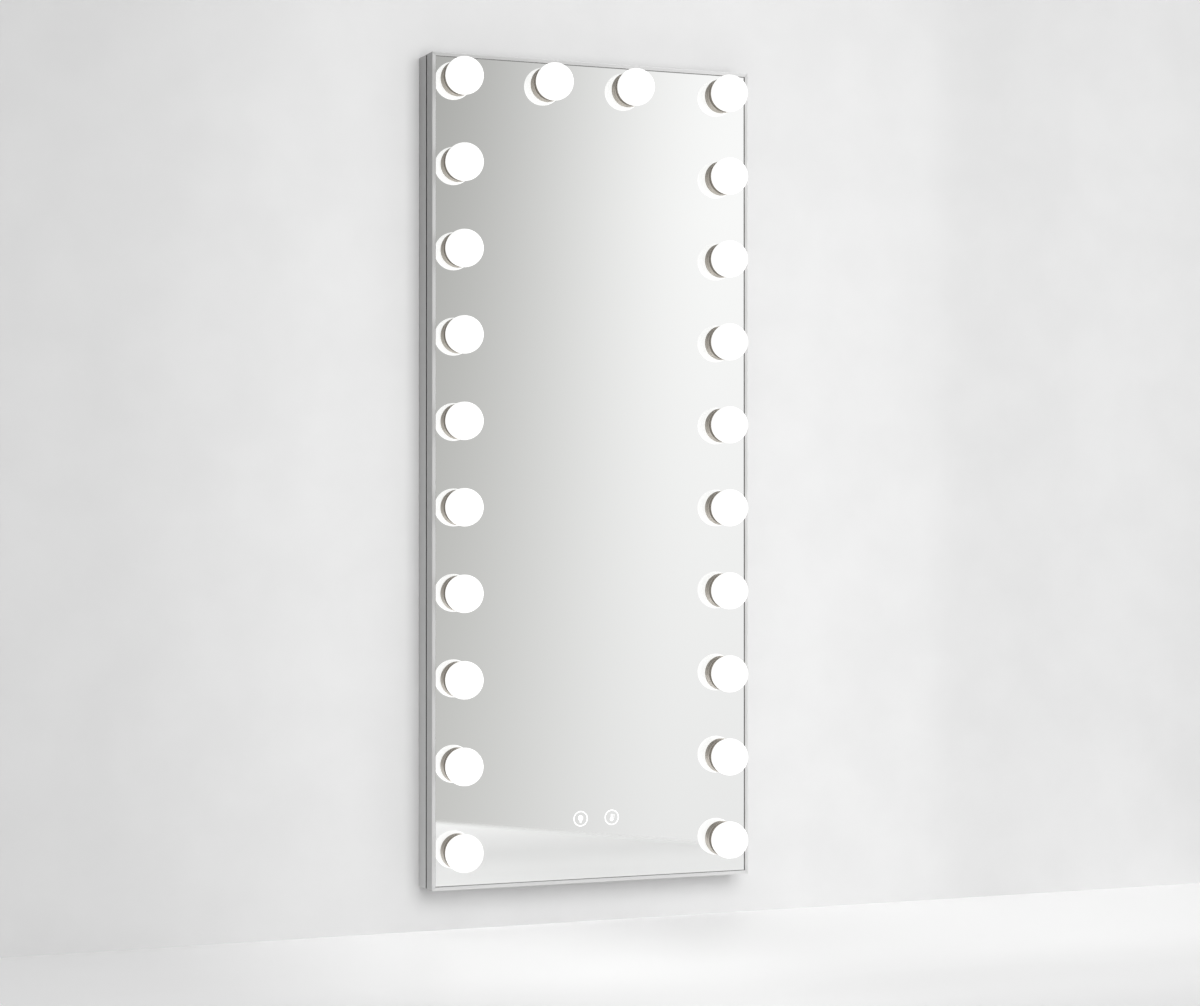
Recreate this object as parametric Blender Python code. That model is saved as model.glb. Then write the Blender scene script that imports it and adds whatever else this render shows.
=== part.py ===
"""Lighted vanity mirror: an aluminium frame round a mirror plate with twenty-two globe lamps.

Metres, +Z up. The mirror faces -Y. The origin is the middle of the back panel's rear face, which
lies flat on the wall.
"""

import math

import bmesh
import bpy
from mathutils import Matrix

# Overall size
HEIGHT = 1.600
WIDTH = 0.664
DEPTH = 0.081  # from the front of the rim to the wall
GAP = 0.0003  # air between two pieces that rest on each other

# Frame extrusion
WALL = 0.0016
RIM_FACE = 0.0070  # width of the bright rim seen from the front
RIM_THICKNESS = 0.0022
RIM_OUTER_RADIUS = 0.0008
RIM_INNER_RADIUS = 0.0004
ARC_STEPS = 3
GROOVE_START = 0.0325  # behind the front of the rim
GROOVE_WIDTH = 0.0050
GROOVE_DEPTH = 0.0040
SHELF_REACH = 0.0120  # flange that the mirror plate is bonded to
REAR_FLANGE_REACH = 0.0140
MITRE_GAP = 0.00022

# Corner keys
KEY_ARM = 0.070
KEY_THICKNESS = 0.0030
KEY_START = 0.0120
KEY_END = 0.0300

# Mirror plate
GLASS_THICKNESS = 0.0040
EDGE_CLEARANCE = 0.0004
STEM_HOLE_RADIUS = 0.0130

# Back panel
PANEL_THICKNESS = 0.0020
WINDOW_WIDTH = 0.034
WINDOW_HEIGHT = 0.052

# Lamps: ten in each side column, the top pair of them in line with two more along the top edge
LAMPS_PER_COLUMN = 10
COLUMN_INSET = 0.0545
TOP_INSET = 0.0470
BOTTOM_INSET = 0.0730
TOP_LAMP_STEPS = (0.184, 0.354)  # distances from the left column
SIDES = 12  # facets round a lamp

# One lamp, as radii and heights above the face of the mirror plate
GLOBE_RADIUS = 0.0365
GLOBE_CENTRE = 0.0330
GLOBE_WALL = 0.0018
OUTER_BANDS = 5
INNER_BANDS = 3
NECK_RADIUS = 0.0230
NECK_END = 0.0040
LUG_TOP = 0.0096
LUG_HEIGHT = 0.0032
COLLAR_RADIUS = 0.0340
COLLAR_BAND = 0.0085
COLLAR_NECK_RADIUS = 0.0330
COLLAR_TOP = 0.0120
CUP_RADIUS = 0.0280
CUP_FLOOR = 0.0030
TAB_BOTTOM = 0.0100
TAB_REACH = 0.0036
STEM_RADIUS = 0.0100
STEM_LENGTH = 0.0240
LUG_SECTORS = (0, SIDES // 2)

# Touch controls
TOUCH_SPACING = 0.0654
TOUCH_CENTRE_X = 0.0060  # the pair sits a little right of the middle
TOUCH_HEIGHT = 0.1247  # above the bottom edge
TOUCH_PAD_RADIUS = 0.0135
BOARD_WIDTH = 0.110
BOARD_HEIGHT = 0.036
BOARD_THICKNESS = 0.0016
PAD_THICKNESS = 0.0015
BOARD_STAND_OFF = 0.0010  # from the plate to the board, less than a pad's thickness

# LED driver
DRIVER_LENGTH = 0.170
DRIVER_WIDTH = 0.046
DRIVER_HEIGHT = 0.028
DRIVER_Z = -0.480
DRIVER_BEVEL = 0.0015
EAR_LENGTH = 0.016
EAR_WIDTH = 0.032
EAR_FRONT = 0.0020
EAR_BACK = 0.0001

# Wiring loom
LOOM_RADIUS = 0.0030
LOOM_OFFSET = 0.0260  # inwards of the lamp columns and below the top row
LOOM_STAND_OFF = 0.0005  # from the back of the plate
LOOM_BEND = 0.040
BEND_STEPS = 5
LOOM_STEP = 0.080
LOOM_DROP_X = 0.160  # where it leaves the bottom edge for the driver

# Hangers and cable grommet
HANGER_X = 0.200
HANGER_Z = 0.660
HANGER_WIDTH = 0.052
HANGER_HEIGHT = 0.074
HANGER_THICKNESS = 0.0020
KEYHOLE_HEAD_RADIUS = 0.0080
KEYHOLE_SLOT_RADIUS = 0.0035
KEYHOLE_RISE = 0.0200
KEYHOLE_HEAD_STEPS = 10
KEYHOLE_SLOT_STEPS = 4
GROMMET_X = 0.180
GROMMET_Z = -0.560
GROMMET_BORE = 0.0050
GROMMET_NECK = 0.0105
GROMMET_FLANGE = 0.0140
GROMMET_FLANGE_END = 0.0050
GROMMET_SLEEVE = 0.0080
GROMMET_END = 0.0160

RIM_FRONT_Y = -DEPTH
GLASS_FACE = RIM_THICKNESS + GAP  # depth of the mirror face behind the rim
GLASS_Y = RIM_FRONT_Y + GLASS_FACE
GLASS_BACK_Y = GLASS_Y + GLASS_THICKNESS
PANEL_FRONT_Y = -PANEL_THICKNESS
COLUMN_X = WIDTH / 2 - COLUMN_INSET
TOP_ROW_Z = HEIGHT / 2 - TOP_INSET
LAMP_PITCH = (HEIGHT - TOP_INSET - BOTTOM_INSET) / (LAMPS_PER_COLUMN - 1)


# Start from an empty scene

for old in list(bpy.data.objects):
    bpy.data.objects.remove(old, do_unlink=True)


# Materials

def make_material(name, colour, roughness, metallic=0.0, glow=0.0):
    material = bpy.data.materials.new(name)
    material.use_nodes = True
    shader = material.node_tree.nodes["Principled BSDF"]
    shader.inputs["Base Color"].default_value = (*colour, 1.0)
    shader.inputs["Roughness"].default_value = roughness
    shader.inputs["Metallic"].default_value = metallic
    if glow:
        shader.inputs["Emission Color"].default_value = (*colour, 1.0)
        shader.inputs["Emission Strength"].default_value = glow
    material.diffuse_color = (*colour, 1.0)
    return material


ALUMINIUM = make_material("satin_aluminium", (0.74, 0.74, 0.73), 0.28, 1.0)
MIRROR = make_material("silvered_glass", (0.86, 0.87, 0.86), 0.02, 1.0)
OPAL = make_material("opal_globe", (1.0, 0.99, 0.97), 0.35, glow=1.0)
NICKEL = make_material("satin_nickel", (0.58, 0.55, 0.50), 0.32, 1.0)
COATED_PANEL = make_material("coated_aluminium", (0.78, 0.78, 0.77), 0.55)
ZINC = make_material("zinc_plate", (0.66, 0.67, 0.69), 0.36, 1.0)
DIE_CAST = make_material("die_cast_alloy", (0.50, 0.51, 0.52), 0.45, 1.0)
HOUSING_PLASTIC = make_material("housing_plastic", (0.86, 0.86, 0.84), 0.5)
BOARD_LAMINATE = make_material("board_laminate", (0.04, 0.22, 0.12), 0.45)
WIRE_SLEEVE = make_material("wire_sleeve", (0.06, 0.06, 0.06), 0.6)
RUBBER = make_material("rubber", (0.03, 0.03, 0.03), 0.8)


# Shapes

def place(name, data, material, location=(0.0, 0.0, 0.0), rotation=(0.0, 0.0, 0.0)):
    """Adds an object that holds this mesh or curve."""
    piece = bpy.data.objects.new(name, data)
    if not data.materials:
        data.materials.append(material)
    piece.location = location
    piece.rotation_euler = rotation
    bpy.context.scene.collection.objects.link(piece)
    return piece


def finish_mesh(name, bm):
    """Turns the faces outwards and writes them to a new mesh."""
    bmesh.ops.recalc_face_normals(bm, faces=bm.faces)
    mesh = bpy.data.meshes.new(name)
    bm.to_mesh(mesh)
    bm.free()
    mesh.shade_smooth()
    mesh.set_sharp_from_angle(angle=math.radians(35))
    return mesh


def arc(centre, radius, start, end, steps=ARC_STEPS):
    """Points on an arc, with angles in degrees."""
    points = []
    for i in range(steps + 1):
        angle = math.radians(start + (end - start) * i / steps)
        points.append((centre[0] + radius * math.cos(angle), centre[1] + radius * math.sin(angle)))
    return points


def circle(centre, radius, steps=SIDES):
    """A closed ring of points, the last one not repeated."""
    return arc(centre, radius, 0, 360, steps)[:-1]


def rectangle(centre, width, height):
    x, z = centre
    return [
        (x - width / 2, z - height / 2),
        (x + width / 2, z - height / 2),
        (x + width / 2, z + height / 2),
        (x - width / 2, z + height / 2),
    ]


def plate(name, material, outline, holes, front_y, back_y):
    """A flat plate in the XZ plane, with holes, from one depth to the other."""
    curve = bpy.data.curves.new(name, "CURVE")
    curve.dimensions = "2D"
    curve.fill_mode = "BOTH"
    curve.extrude = (back_y - front_y) / 2
    for loop in [outline, *holes]:
        spline = curve.splines.new("POLY")
        spline.points.add(len(loop) - 1)
        for point, (x, z) in zip(spline.points, loop):
            point.co = (x, z, 0.0, 1.0)
        spline.use_cyclic_u = True
    middle = (front_y + back_y) / 2
    return place(name, curve, material, (0.0, middle, 0.0), (math.pi / 2, 0.0, 0.0))


def turned(name, profile, sides=SIDES, closed=False):
    """Turns (radius, height) pairs round the local Z axis. Returns the bmesh and its bands of faces.

    A pair with no radius is a pole. A closed profile joins its last pair to its first.
    """
    bm = bmesh.new()
    rings = []
    for radius, height in profile:
        if radius == 0.0:
            rings.append([bm.verts.new((0.0, 0.0, height))])
            continue
        ring = []
        for i in range(sides):
            angle = 2 * math.pi * (i - 0.5) / sides
            ring.append(bm.verts.new((radius * math.cos(angle), radius * math.sin(angle), height)))
        rings.append(ring)
    pairs = list(zip(rings, rings[1:]))
    if closed:
        pairs.append((rings[-1], rings[0]))
    bands = []
    for lower, upper in pairs:
        band = []
        for i in range(sides):
            j = (i + 1) % sides
            corners = [lower[i], lower[j]] if len(lower) > 1 else [lower[0]]
            corners += [upper[j], upper[i]] if len(upper) > 1 else [upper[0]]
            band.append(bm.faces.new(corners))
        bands.append(band)
    return bm, bands


def push_faces(bm, faces, distance):
    """Raises a few flat faces of a turned wall into blocks, along their own radius."""
    for face in faces:
        outwards = face.calc_center_median().copy()
        outwards.z = 0.0
        outwards.normalize()
        raised = bmesh.ops.extrude_discrete_faces(bm, faces=[face])["faces"][0]
        bmesh.ops.translate(bm, verts=raised.verts, vec=outwards * distance)


def box_mesh(bm, low, high):
    """Adds a closed box between two corners."""
    size = [b - a for a, b in zip(low, high)]
    made = bmesh.ops.create_cube(bm, size=1.0)["verts"]
    bmesh.ops.scale(bm, verts=made, vec=size)
    bmesh.ops.translate(bm, verts=made, vec=[(a + b) / 2 for a, b in zip(low, high)])


def joined(name, material, shapes):
    """One solid from several overlapping closed bmeshes, by Boolean unions."""
    bodies = []
    for i, bm in enumerate(shapes):
        bodies.append(place(f"{name}_shape_{i}", finish_mesh(name, bm), material))
    first = bodies[0]
    for other in bodies[1:]:
        union = first.modifiers.new("union", "BOOLEAN")
        union.operation = "UNION"
        union.object = other
    bpy.context.view_layer.update()
    evaluated = first.evaluated_get(bpy.context.evaluated_depsgraph_get())
    mesh = bpy.data.meshes.new_from_object(evaluated)
    for body in bodies:
        bpy.data.objects.remove(body, do_unlink=True)
    mesh.name = name
    return place(name, mesh, material)


# Frame rails: one extrusion, cut to four mitred lengths

def rail_section():
    """The extrusion's outline as (inwards from the outer face, behind the rim front) pairs."""
    groove_end = GROOVE_START + GROOVE_WIDTH
    shelf = GLASS_FACE + GLASS_THICKNESS + GAP
    panel_seat = DEPTH - PANEL_THICKNESS - GAP
    section = arc((RIM_OUTER_RADIUS, RIM_OUTER_RADIUS), RIM_OUTER_RADIUS, 270, 180)
    section += [
        (0.0, GROOVE_START),
        (GROOVE_DEPTH, GROOVE_START),
        (GROOVE_DEPTH, groove_end),
        (0.0, groove_end),
        (0.0, DEPTH),
        (WALL, DEPTH),
        (WALL, panel_seat),
        (REAR_FLANGE_REACH, panel_seat),
        (REAR_FLANGE_REACH, panel_seat - WALL),
        (WALL, panel_seat - WALL),
        (WALL, groove_end + WALL),
        (GROOVE_DEPTH + WALL, groove_end + WALL),
        (GROOVE_DEPTH + WALL, GROOVE_START - WALL),
        (WALL, GROOVE_START - WALL),
        (WALL, shelf + WALL),
        (SHELF_REACH, shelf + WALL),
        (SHELF_REACH, shelf),
        (WALL, shelf),
        (WALL, RIM_THICKNESS),
        (RIM_FACE, RIM_THICKNESS),
    ]
    section += arc((RIM_FACE - RIM_INNER_RADIUS, RIM_INNER_RADIUS), RIM_INNER_RADIUS, 0, -90)
    return section


def make_rail(name, length, across, turn):
    """A mitred length of the extrusion. It is drawn as a bottom rail, then turned about Y."""
    bm = bmesh.new()
    ends = []
    for side in (-1, 1):
        end = []
        for inwards, behind in rail_section():
            reach = length / 2 - inwards - MITRE_GAP
            end.append(bm.verts.new((side * reach, RIM_FRONT_Y + behind, inwards - across / 2)))
        ends.append(end)
    first, last = ends
    for i in range(len(first)):
        j = (i + 1) % len(first)
        bm.faces.new((first[i], first[j], last[j], last[i]))
    bm.faces.new(first)
    bm.faces.new(last)
    return place(name, finish_mesh(name, bm), ALUMINIUM, rotation=(0.0, turn, 0.0))


make_rail("frame_bottom", WIDTH, HEIGHT, 0.0)
make_rail("frame_left", HEIGHT, WIDTH, math.pi / 2)
make_rail("frame_top", WIDTH, HEIGHT, math.pi)
make_rail("frame_right", HEIGHT, WIDTH, -math.pi / 2)


# Corner keys inside the mitres

def make_corner_key(name, side, end):
    """An angle that ties two rails together, in the corner given by the signs of X and Z."""
    inner = WALL + GAP
    outline = [
        (inner, inner),
        (inner + KEY_ARM, inner),
        (inner + KEY_ARM, inner + KEY_THICKNESS),
        (inner + KEY_THICKNESS, inner + KEY_THICKNESS),
        (inner + KEY_THICKNESS, inner + KEY_ARM),
        (inner, inner + KEY_ARM),
    ]
    corner = [(side * (WIDTH / 2 - x), end * (HEIGHT / 2 - z)) for x, z in outline]
    plate(name, DIE_CAST, corner, [], RIM_FRONT_Y + KEY_START, RIM_FRONT_Y + KEY_END)


make_corner_key("corner_key_top_left", -1, 1)
make_corner_key("corner_key_top_right", 1, 1)
make_corner_key("corner_key_bottom_left", -1, -1)
make_corner_key("corner_key_bottom_right", 1, -1)


# Lamp positions

def lamp_places():
    """The name and the (x, z) place of every lamp."""
    places = []
    for side, x in (("left", -COLUMN_X), ("right", COLUMN_X)):
        for i in range(LAMPS_PER_COLUMN):
            places.append((f"{side}_{i + 1:02d}", x, TOP_ROW_Z - i * LAMP_PITCH))
    for i, step in enumerate(TOP_LAMP_STEPS):
        places.append((f"top_{i + 1:02d}", step - COLUMN_X, TOP_ROW_Z))
    return places


# Mirror plate, with a hole for each lamp's stem

def plate_outline():
    margin = WALL + EDGE_CLEARANCE
    return rectangle((0.0, 0.0), WIDTH - 2 * margin, HEIGHT - 2 * margin)


stem_holes = [circle((x, z), STEM_HOLE_RADIUS) for _, x, z in lamp_places()]
plate("mirror_glass", MIRROR, plate_outline(), stem_holes, GLASS_Y, GLASS_BACK_Y)


# Lamp base: a nickel cup on a stem that passes through the plate

def base_mesh():
    profile = [
        (0.0, CUP_FLOOR),
        (CUP_RADIUS, CUP_FLOOR),
        (CUP_RADIUS, TAB_BOTTOM),
        (CUP_RADIUS, COLLAR_TOP),
        (COLLAR_NECK_RADIUS, COLLAR_TOP),
        (COLLAR_NECK_RADIUS, COLLAR_BAND + WALL / 2),
        (COLLAR_RADIUS, COLLAR_BAND),
        (COLLAR_RADIUS, GAP),
        (STEM_RADIUS, GAP),
        (STEM_RADIUS, -STEM_LENGTH),
        (0.0, -STEM_LENGTH),
    ]
    bm, bands = turned("lamp_base", profile)
    tab_band = bands[2]
    push_faces(bm, [tab_band[i] for i in LUG_SECTORS], -TAB_REACH)
    return finish_mesh("lamp_base", bm)


# Globe: a thin opal shell, open at its neck, with two lugs that turn under the cup's tabs

def sphere_profile(radius, lowest, bands):
    """Quarter-and-more of a circle from its front pole down to a given height."""
    widest = math.acos((lowest - GLOBE_CENTRE) / radius)
    profile = [(0.0, GLOBE_CENTRE + radius)]
    for i in range(1, bands + 1):
        angle = widest * i / bands
        profile.append((radius * math.sin(angle), GLOBE_CENTRE + radius * math.cos(angle)))
    return profile


def globe_mesh():
    lip = COLLAR_TOP + GAP
    outer = sphere_profile(GLOBE_RADIUS, lip, OUTER_BANDS)
    inner = sphere_profile(GLOBE_RADIUS - GLOBE_WALL, lip + GLOBE_WALL, INNER_BANDS)
    neck = [
        (NECK_RADIUS, lip),
        (NECK_RADIUS, LUG_TOP),
        (NECK_RADIUS, NECK_END),
        (NECK_RADIUS - GLOBE_WALL, NECK_END),
        (NECK_RADIUS - GLOBE_WALL, lip + GLOBE_WALL),
    ]
    bm, bands = turned("globe", outer + neck + inner[::-1])
    lug_band = bands[len(outer) + 1]
    push_faces(bm, [lug_band[i] for i in LUG_SECTORS], LUG_HEIGHT)
    return finish_mesh("globe", bm)


base_shape = base_mesh()
globe_shape = globe_mesh()
for lamp, x, z in lamp_places():
    outwards = (math.pi / 2, 0.0, 0.0)  # local Z points away from the mirror
    place(f"lamp_base_{lamp}", base_shape, NICKEL, (x, GLASS_Y, z), outwards)
    place(f"globe_{lamp}", globe_shape, OPAL, (x, GLASS_Y, z), outwards)


# Back panel, with two hanging windows and a hole for the supply

hanger_places = [(-HANGER_X, HANGER_Z), (HANGER_X, HANGER_Z)]
panel_holes = [rectangle(centre, WINDOW_WIDTH, WINDOW_HEIGHT) for centre in hanger_places]
panel_holes.append(circle((GROMMET_X, GROMMET_Z), GROMMET_NECK + EDGE_CLEARANCE))
plate("back_panel", COATED_PANEL, plate_outline(), panel_holes, PANEL_FRONT_Y, 0.0)


# Keyhole hangers behind the windows

def keyhole(centre):
    """A round hole for the screw's head, with a narrower slot above it."""
    x, z = centre
    low = z - KEYHOLE_RISE / 2
    meeting = math.degrees(math.asin(KEYHOLE_SLOT_RADIUS / KEYHOLE_HEAD_RADIUS))
    head = arc((x, low), KEYHOLE_HEAD_RADIUS, 90 + meeting, 450 - meeting, KEYHOLE_HEAD_STEPS)
    top = arc((x, low + KEYHOLE_RISE), KEYHOLE_SLOT_RADIUS, 0, 180, KEYHOLE_SLOT_STEPS)
    return head + top


for name, centre in zip(("hanger_left", "hanger_right"), hanger_places):
    back = PANEL_FRONT_Y - GAP
    outline = rectangle(centre, HANGER_WIDTH, HANGER_HEIGHT)
    plate(name, ZINC, outline, [keyhole(centre)], back - HANGER_THICKNESS, back)


# Cable grommet in the back panel: depths are in front of the wall

grommet_profile = [
    (GROMMET_BORE, GAP),
    (GROMMET_NECK, GAP),
    (GROMMET_NECK, PANEL_THICKNESS + GAP),
    (GROMMET_FLANGE, PANEL_THICKNESS + GAP),
    (GROMMET_FLANGE, GROMMET_FLANGE_END),
    (GROMMET_SLEEVE, GROMMET_FLANGE_END),
    (GROMMET_SLEEVE, GROMMET_END),
    (GROMMET_BORE, GROMMET_END),
]
grommet, _ = turned("cable_grommet", grommet_profile, closed=True)
place(
    "cable_grommet",
    finish_mesh("cable_grommet", grommet),
    RUBBER,
    (GROMMET_X, 0.0, GROMMET_Z),
    (math.pi / 2, 0.0, 0.0),
)


# LED driver: a moulded case on two fixing ears

def make_driver():
    back = PANEL_FRONT_Y - GAP
    case = bmesh.new()
    half = (DRIVER_LENGTH / 2, DRIVER_WIDTH / 2)
    box_mesh(
        case,
        (-half[0], back - DRIVER_HEIGHT, DRIVER_Z - half[1]),
        (half[0], back, DRIVER_Z + half[1]),
    )
    bmesh.ops.bevel(case, geom=case.edges[:], offset=DRIVER_BEVEL, segments=1, affect="EDGES")
    ears = bmesh.new()
    reach = half[0] + EAR_LENGTH
    box_mesh(
        ears,
        (-reach, back - EAR_FRONT, DRIVER_Z - EAR_WIDTH / 2),
        (reach, back - EAR_BACK, DRIVER_Z + EAR_WIDTH / 2),
    )
    joined("led_driver", HOUSING_PLASTIC, [case, ears])


make_driver()


# Touch sensor board, with its two pads against the back of the plate

def make_touch_board():
    height = TOUCH_HEIGHT - HEIGHT / 2
    front = GLASS_BACK_Y + GAP + BOARD_STAND_OFF
    board = bmesh.new()
    box_mesh(
        board,
        (TOUCH_CENTRE_X - BOARD_WIDTH / 2, front, height - BOARD_HEIGHT / 2),
        (TOUCH_CENTRE_X + BOARD_WIDTH / 2, front + BOARD_THICKNESS, height + BOARD_HEIGHT / 2),
    )
    shapes = [board]
    for side in (-1, 1):
        pad, _ = turned(
            "pad",
            [(0.0, 0.0), (TOUCH_PAD_RADIUS, 0.0), (TOUCH_PAD_RADIUS, PAD_THICKNESS), (0.0, PAD_THICKNESS)],
        )
        bmesh.ops.rotate(pad, verts=pad.verts, matrix=Matrix.Rotation(math.pi / 2, 3, "X"))
        pad_back = GLASS_BACK_Y + GAP + PAD_THICKNESS
        pad_x = TOUCH_CENTRE_X + side * TOUCH_SPACING / 2
        bmesh.ops.translate(pad, verts=pad.verts, vec=(pad_x, pad_back, height))
        shapes.append(pad)
    joined("touch_sensor_board", BOARD_LAMINATE, shapes)


make_touch_board()


# Wiring loom on the back of the plate: beside one column, under the top row, beside the other
# column and back to the driver

def rounded_route(corners, bend, step):
    """Points along straight runs whose corners are rounded by a quadratic curve."""
    route = [corners[0]]

    def run_to(target):
        start = route[-1]
        pieces = max(1, round(math.dist(start, target) / step))
        for i in range(1, pieces + 1):
            route.append(tuple(a + (b - a) * i / pieces for a, b in zip(start, target)))

    for before, corner, after in zip(corners, corners[1:], corners[2:]):
        cut_in = bend / math.dist(before, corner)
        cut_out = bend / math.dist(corner, after)
        entry = tuple(c + (b - c) * cut_in for b, c in zip(before, corner))
        leave = tuple(c + (a - c) * cut_out for a, c in zip(after, corner))
        run_to(entry)
        for i in range(1, BEND_STEPS + 1):
            t = i / BEND_STEPS
            route.append(tuple(
                (1 - t) ** 2 * e + 2 * t * (1 - t) * c + t * t * f
                for e, c, f in zip(entry, corner, leave)
            ))
    run_to(corners[-1])
    return route


def make_loom():
    side_x = COLUMN_X - LOOM_OFFSET
    upper = TOP_ROW_Z - LOOM_OFFSET
    lowest = BOTTOM_INSET - HEIGHT / 2
    plate_y = GLASS_BACK_Y + LOOM_STAND_OFF + LOOM_RADIUS
    driver_y = PANEL_FRONT_Y - GAP - DRIVER_HEIGHT / 2
    corners = [
        (-side_x, plate_y, lowest),
        (-side_x, plate_y, upper),
        (side_x, plate_y, upper),
        (side_x, plate_y, lowest),
        (LOOM_DROP_X, plate_y, lowest),
        (LOOM_DROP_X, driver_y, DRIVER_Z),
        (DRIVER_LENGTH / 2 + GAP, driver_y, DRIVER_Z),
    ]
    route = rounded_route(corners, LOOM_BEND, LOOM_STEP)
    curve = bpy.data.curves.new("wiring_loom", "CURVE")
    curve.dimensions = "3D"
    curve.bevel_depth = LOOM_RADIUS
    curve.bevel_resolution = 2
    curve.use_fill_caps = True
    spline = curve.splines.new("POLY")
    spline.points.add(len(route) - 1)
    for point, place_at in zip(spline.points, route):
        point.co = (*place_at, 1.0)
    place("wiring_loom", curve, WIRE_SLEEVE)


make_loom()
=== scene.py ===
import math

import bmesh
import bpy
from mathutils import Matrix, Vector


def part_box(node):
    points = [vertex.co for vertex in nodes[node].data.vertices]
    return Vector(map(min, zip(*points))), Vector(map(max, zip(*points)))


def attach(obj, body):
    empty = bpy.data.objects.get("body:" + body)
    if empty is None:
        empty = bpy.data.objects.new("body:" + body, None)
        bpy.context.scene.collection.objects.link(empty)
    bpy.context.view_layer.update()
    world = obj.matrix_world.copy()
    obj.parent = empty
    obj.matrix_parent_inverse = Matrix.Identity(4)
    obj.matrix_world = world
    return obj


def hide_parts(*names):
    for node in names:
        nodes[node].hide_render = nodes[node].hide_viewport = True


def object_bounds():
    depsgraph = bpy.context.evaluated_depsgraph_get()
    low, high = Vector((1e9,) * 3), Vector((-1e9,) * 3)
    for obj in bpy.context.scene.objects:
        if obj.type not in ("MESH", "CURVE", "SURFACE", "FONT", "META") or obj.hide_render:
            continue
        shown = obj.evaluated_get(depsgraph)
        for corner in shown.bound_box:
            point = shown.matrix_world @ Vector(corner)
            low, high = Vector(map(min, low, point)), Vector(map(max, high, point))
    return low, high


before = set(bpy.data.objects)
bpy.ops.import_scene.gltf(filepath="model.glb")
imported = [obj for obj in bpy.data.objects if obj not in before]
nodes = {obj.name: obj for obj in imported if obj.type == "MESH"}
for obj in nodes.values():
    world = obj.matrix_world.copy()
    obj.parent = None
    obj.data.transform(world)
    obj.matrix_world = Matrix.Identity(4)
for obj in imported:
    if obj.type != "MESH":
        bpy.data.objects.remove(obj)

cadBox = [list(corner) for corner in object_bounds()]
scene = bpy.context.scene
scene.view_settings.view_transform = "Standard"
print("frame loaded:", len(nodes), "nodes")


# Places read from the frame: every lamp is named as in its node, with its middle on the mirror face

glassLow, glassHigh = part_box("mirror_glass")
glassFront = glassLow.y
glassBack = glassHigh.y
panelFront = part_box("back_panel")[0].y
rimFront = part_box("frame_left")[0].y
lamps = {}
for node in sorted(nodes):
    if node.startswith("globe_"):
        low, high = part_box(node)
        lamps[node.removeprefix("globe_")] = ((low.x + high.x) / 2, (low.z + high.z) / 2)
columnX = max(x for x, z in lamps.values())
topRowZ = max(z for x, z in lamps.values())
lowestZ = min(z for x, z in lamps.values())
lampPitch = (topRowZ - lowestZ) / (sum(name.startswith("left") for name in lamps) - 1)


# Camera

cameraSetup = {
    "place": (-1.8943, -4.7968, -0.0943),
    "turn": 22.02,  # degrees to the right of straight at the wall
    "rise": 0.384,  # degrees above level
    "lens": 78.09,
}


def makeCamera(setup):
    data = bpy.data.cameras.new("camera")
    data.lens = setup["lens"]
    camera = bpy.data.objects.new("camera", data)
    camera.location = setup["place"]
    camera.rotation_euler = (math.radians(90 + setup["rise"]), 0.0, -math.radians(setup["turn"]))
    scene.collection.objects.link(camera)
    scene.camera = camera


makeCamera(cameraSetup)


# Node tree helpers

def fill(tree, node, inputs):
    # Links each socket that is given and sets each plain value.
    for key, value in inputs.items():
        if isinstance(value, bpy.types.NodeSocket):
            tree.links.new(value, node.inputs[key])
        else:
            node.inputs[key].default_value = value


def addNode(tree, kind, inputs=None, **settings):
    node = tree.nodes.new(kind)
    for key, value in settings.items():
        setattr(node, key, value)
    fill(tree, node, inputs or {})
    return node


def nodeOut(tree, kind, inputs=None, **settings):
    return addNode(tree, kind, inputs, **settings).outputs[0]


def addGroup(tree, group, inputs):
    return addNode(tree, "ShaderNodeGroup", inputs, node_tree=group).outputs


def math2(tree, operation, first, second=0.0, third=0.5):
    # third is what COMPARE takes as its tolerance and MULTIPLY_ADD adds.
    return nodeOut(tree, "ShaderNodeMath", {0: first, 1: second, 2: third}, operation=operation)


def largest(tree, *values):
    most = values[0]
    for value in values[1:]:
        most = math2(tree, "MAXIMUM", most, value)
    return most


def scaled(tree, vector, factor):
    return nodeOut(tree, "ShaderNodeVectorMath", {0: vector, "Scale": factor}, operation="SCALE")


def multiplied(tree, first, second):
    return nodeOut(tree, "ShaderNodeVectorMath", {0: first, 1: second}, operation="MULTIPLY")


def axes(tree, vector):
    return addNode(tree, "ShaderNodeSeparateXYZ", {0: vector}).outputs


def vectorOf(tree, **parts):
    return nodeOut(tree, "ShaderNodeCombineXYZ", parts)


def ramp(tree, value, fromMin, fromMax, toMin, toMax, smooth=False):
    kind = "SMOOTHSTEP" if smooth else "LINEAR"
    inputs = {0: value, 1: fromMin, 2: fromMax, 3: toMin, 4: toMax}
    return nodeOut(tree, "ShaderNodeMapRange", inputs, interpolation_type=kind)


def mixColour(tree, factor, first, second):
    inputs = {0: factor, 6: first, 7: second}
    return addNode(tree, "ShaderNodeMix", inputs, data_type="RGBA").outputs[2]


def grey(value, warmth=0.0):
    return (value * (1 + warmth), value, value * (1 - warmth), 1.0)


def newTree(name, kind, inputs, outputs):
    tree = bpy.data.node_groups.new(name, kind)
    for label, socketKind, value in inputs:
        socket = tree.interface.new_socket(label, in_out="INPUT", socket_type=socketKind)
        if value is not None:
            socket.default_value = value
    for label, socketKind in outputs:
        tree.interface.new_socket(label, in_out="OUTPUT", socket_type=socketKind)
    return tree, tree.nodes.new("NodeGroupInput").outputs, tree.nodes.new("NodeGroupOutput")


# Shared shader effects

vectorIn = ("Vector", "NodeSocketVector", None)
heightAndTone = [("Height", "NodeSocketFloat"), ("Tone", "NodeSocketFloat")]


def noise(tree, vector, scale, detail, **more):
    return nodeOut(tree, "ShaderNodeTexNoise", {"Vector": vector, "Scale": scale, "Detail": detail} | more)


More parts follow.
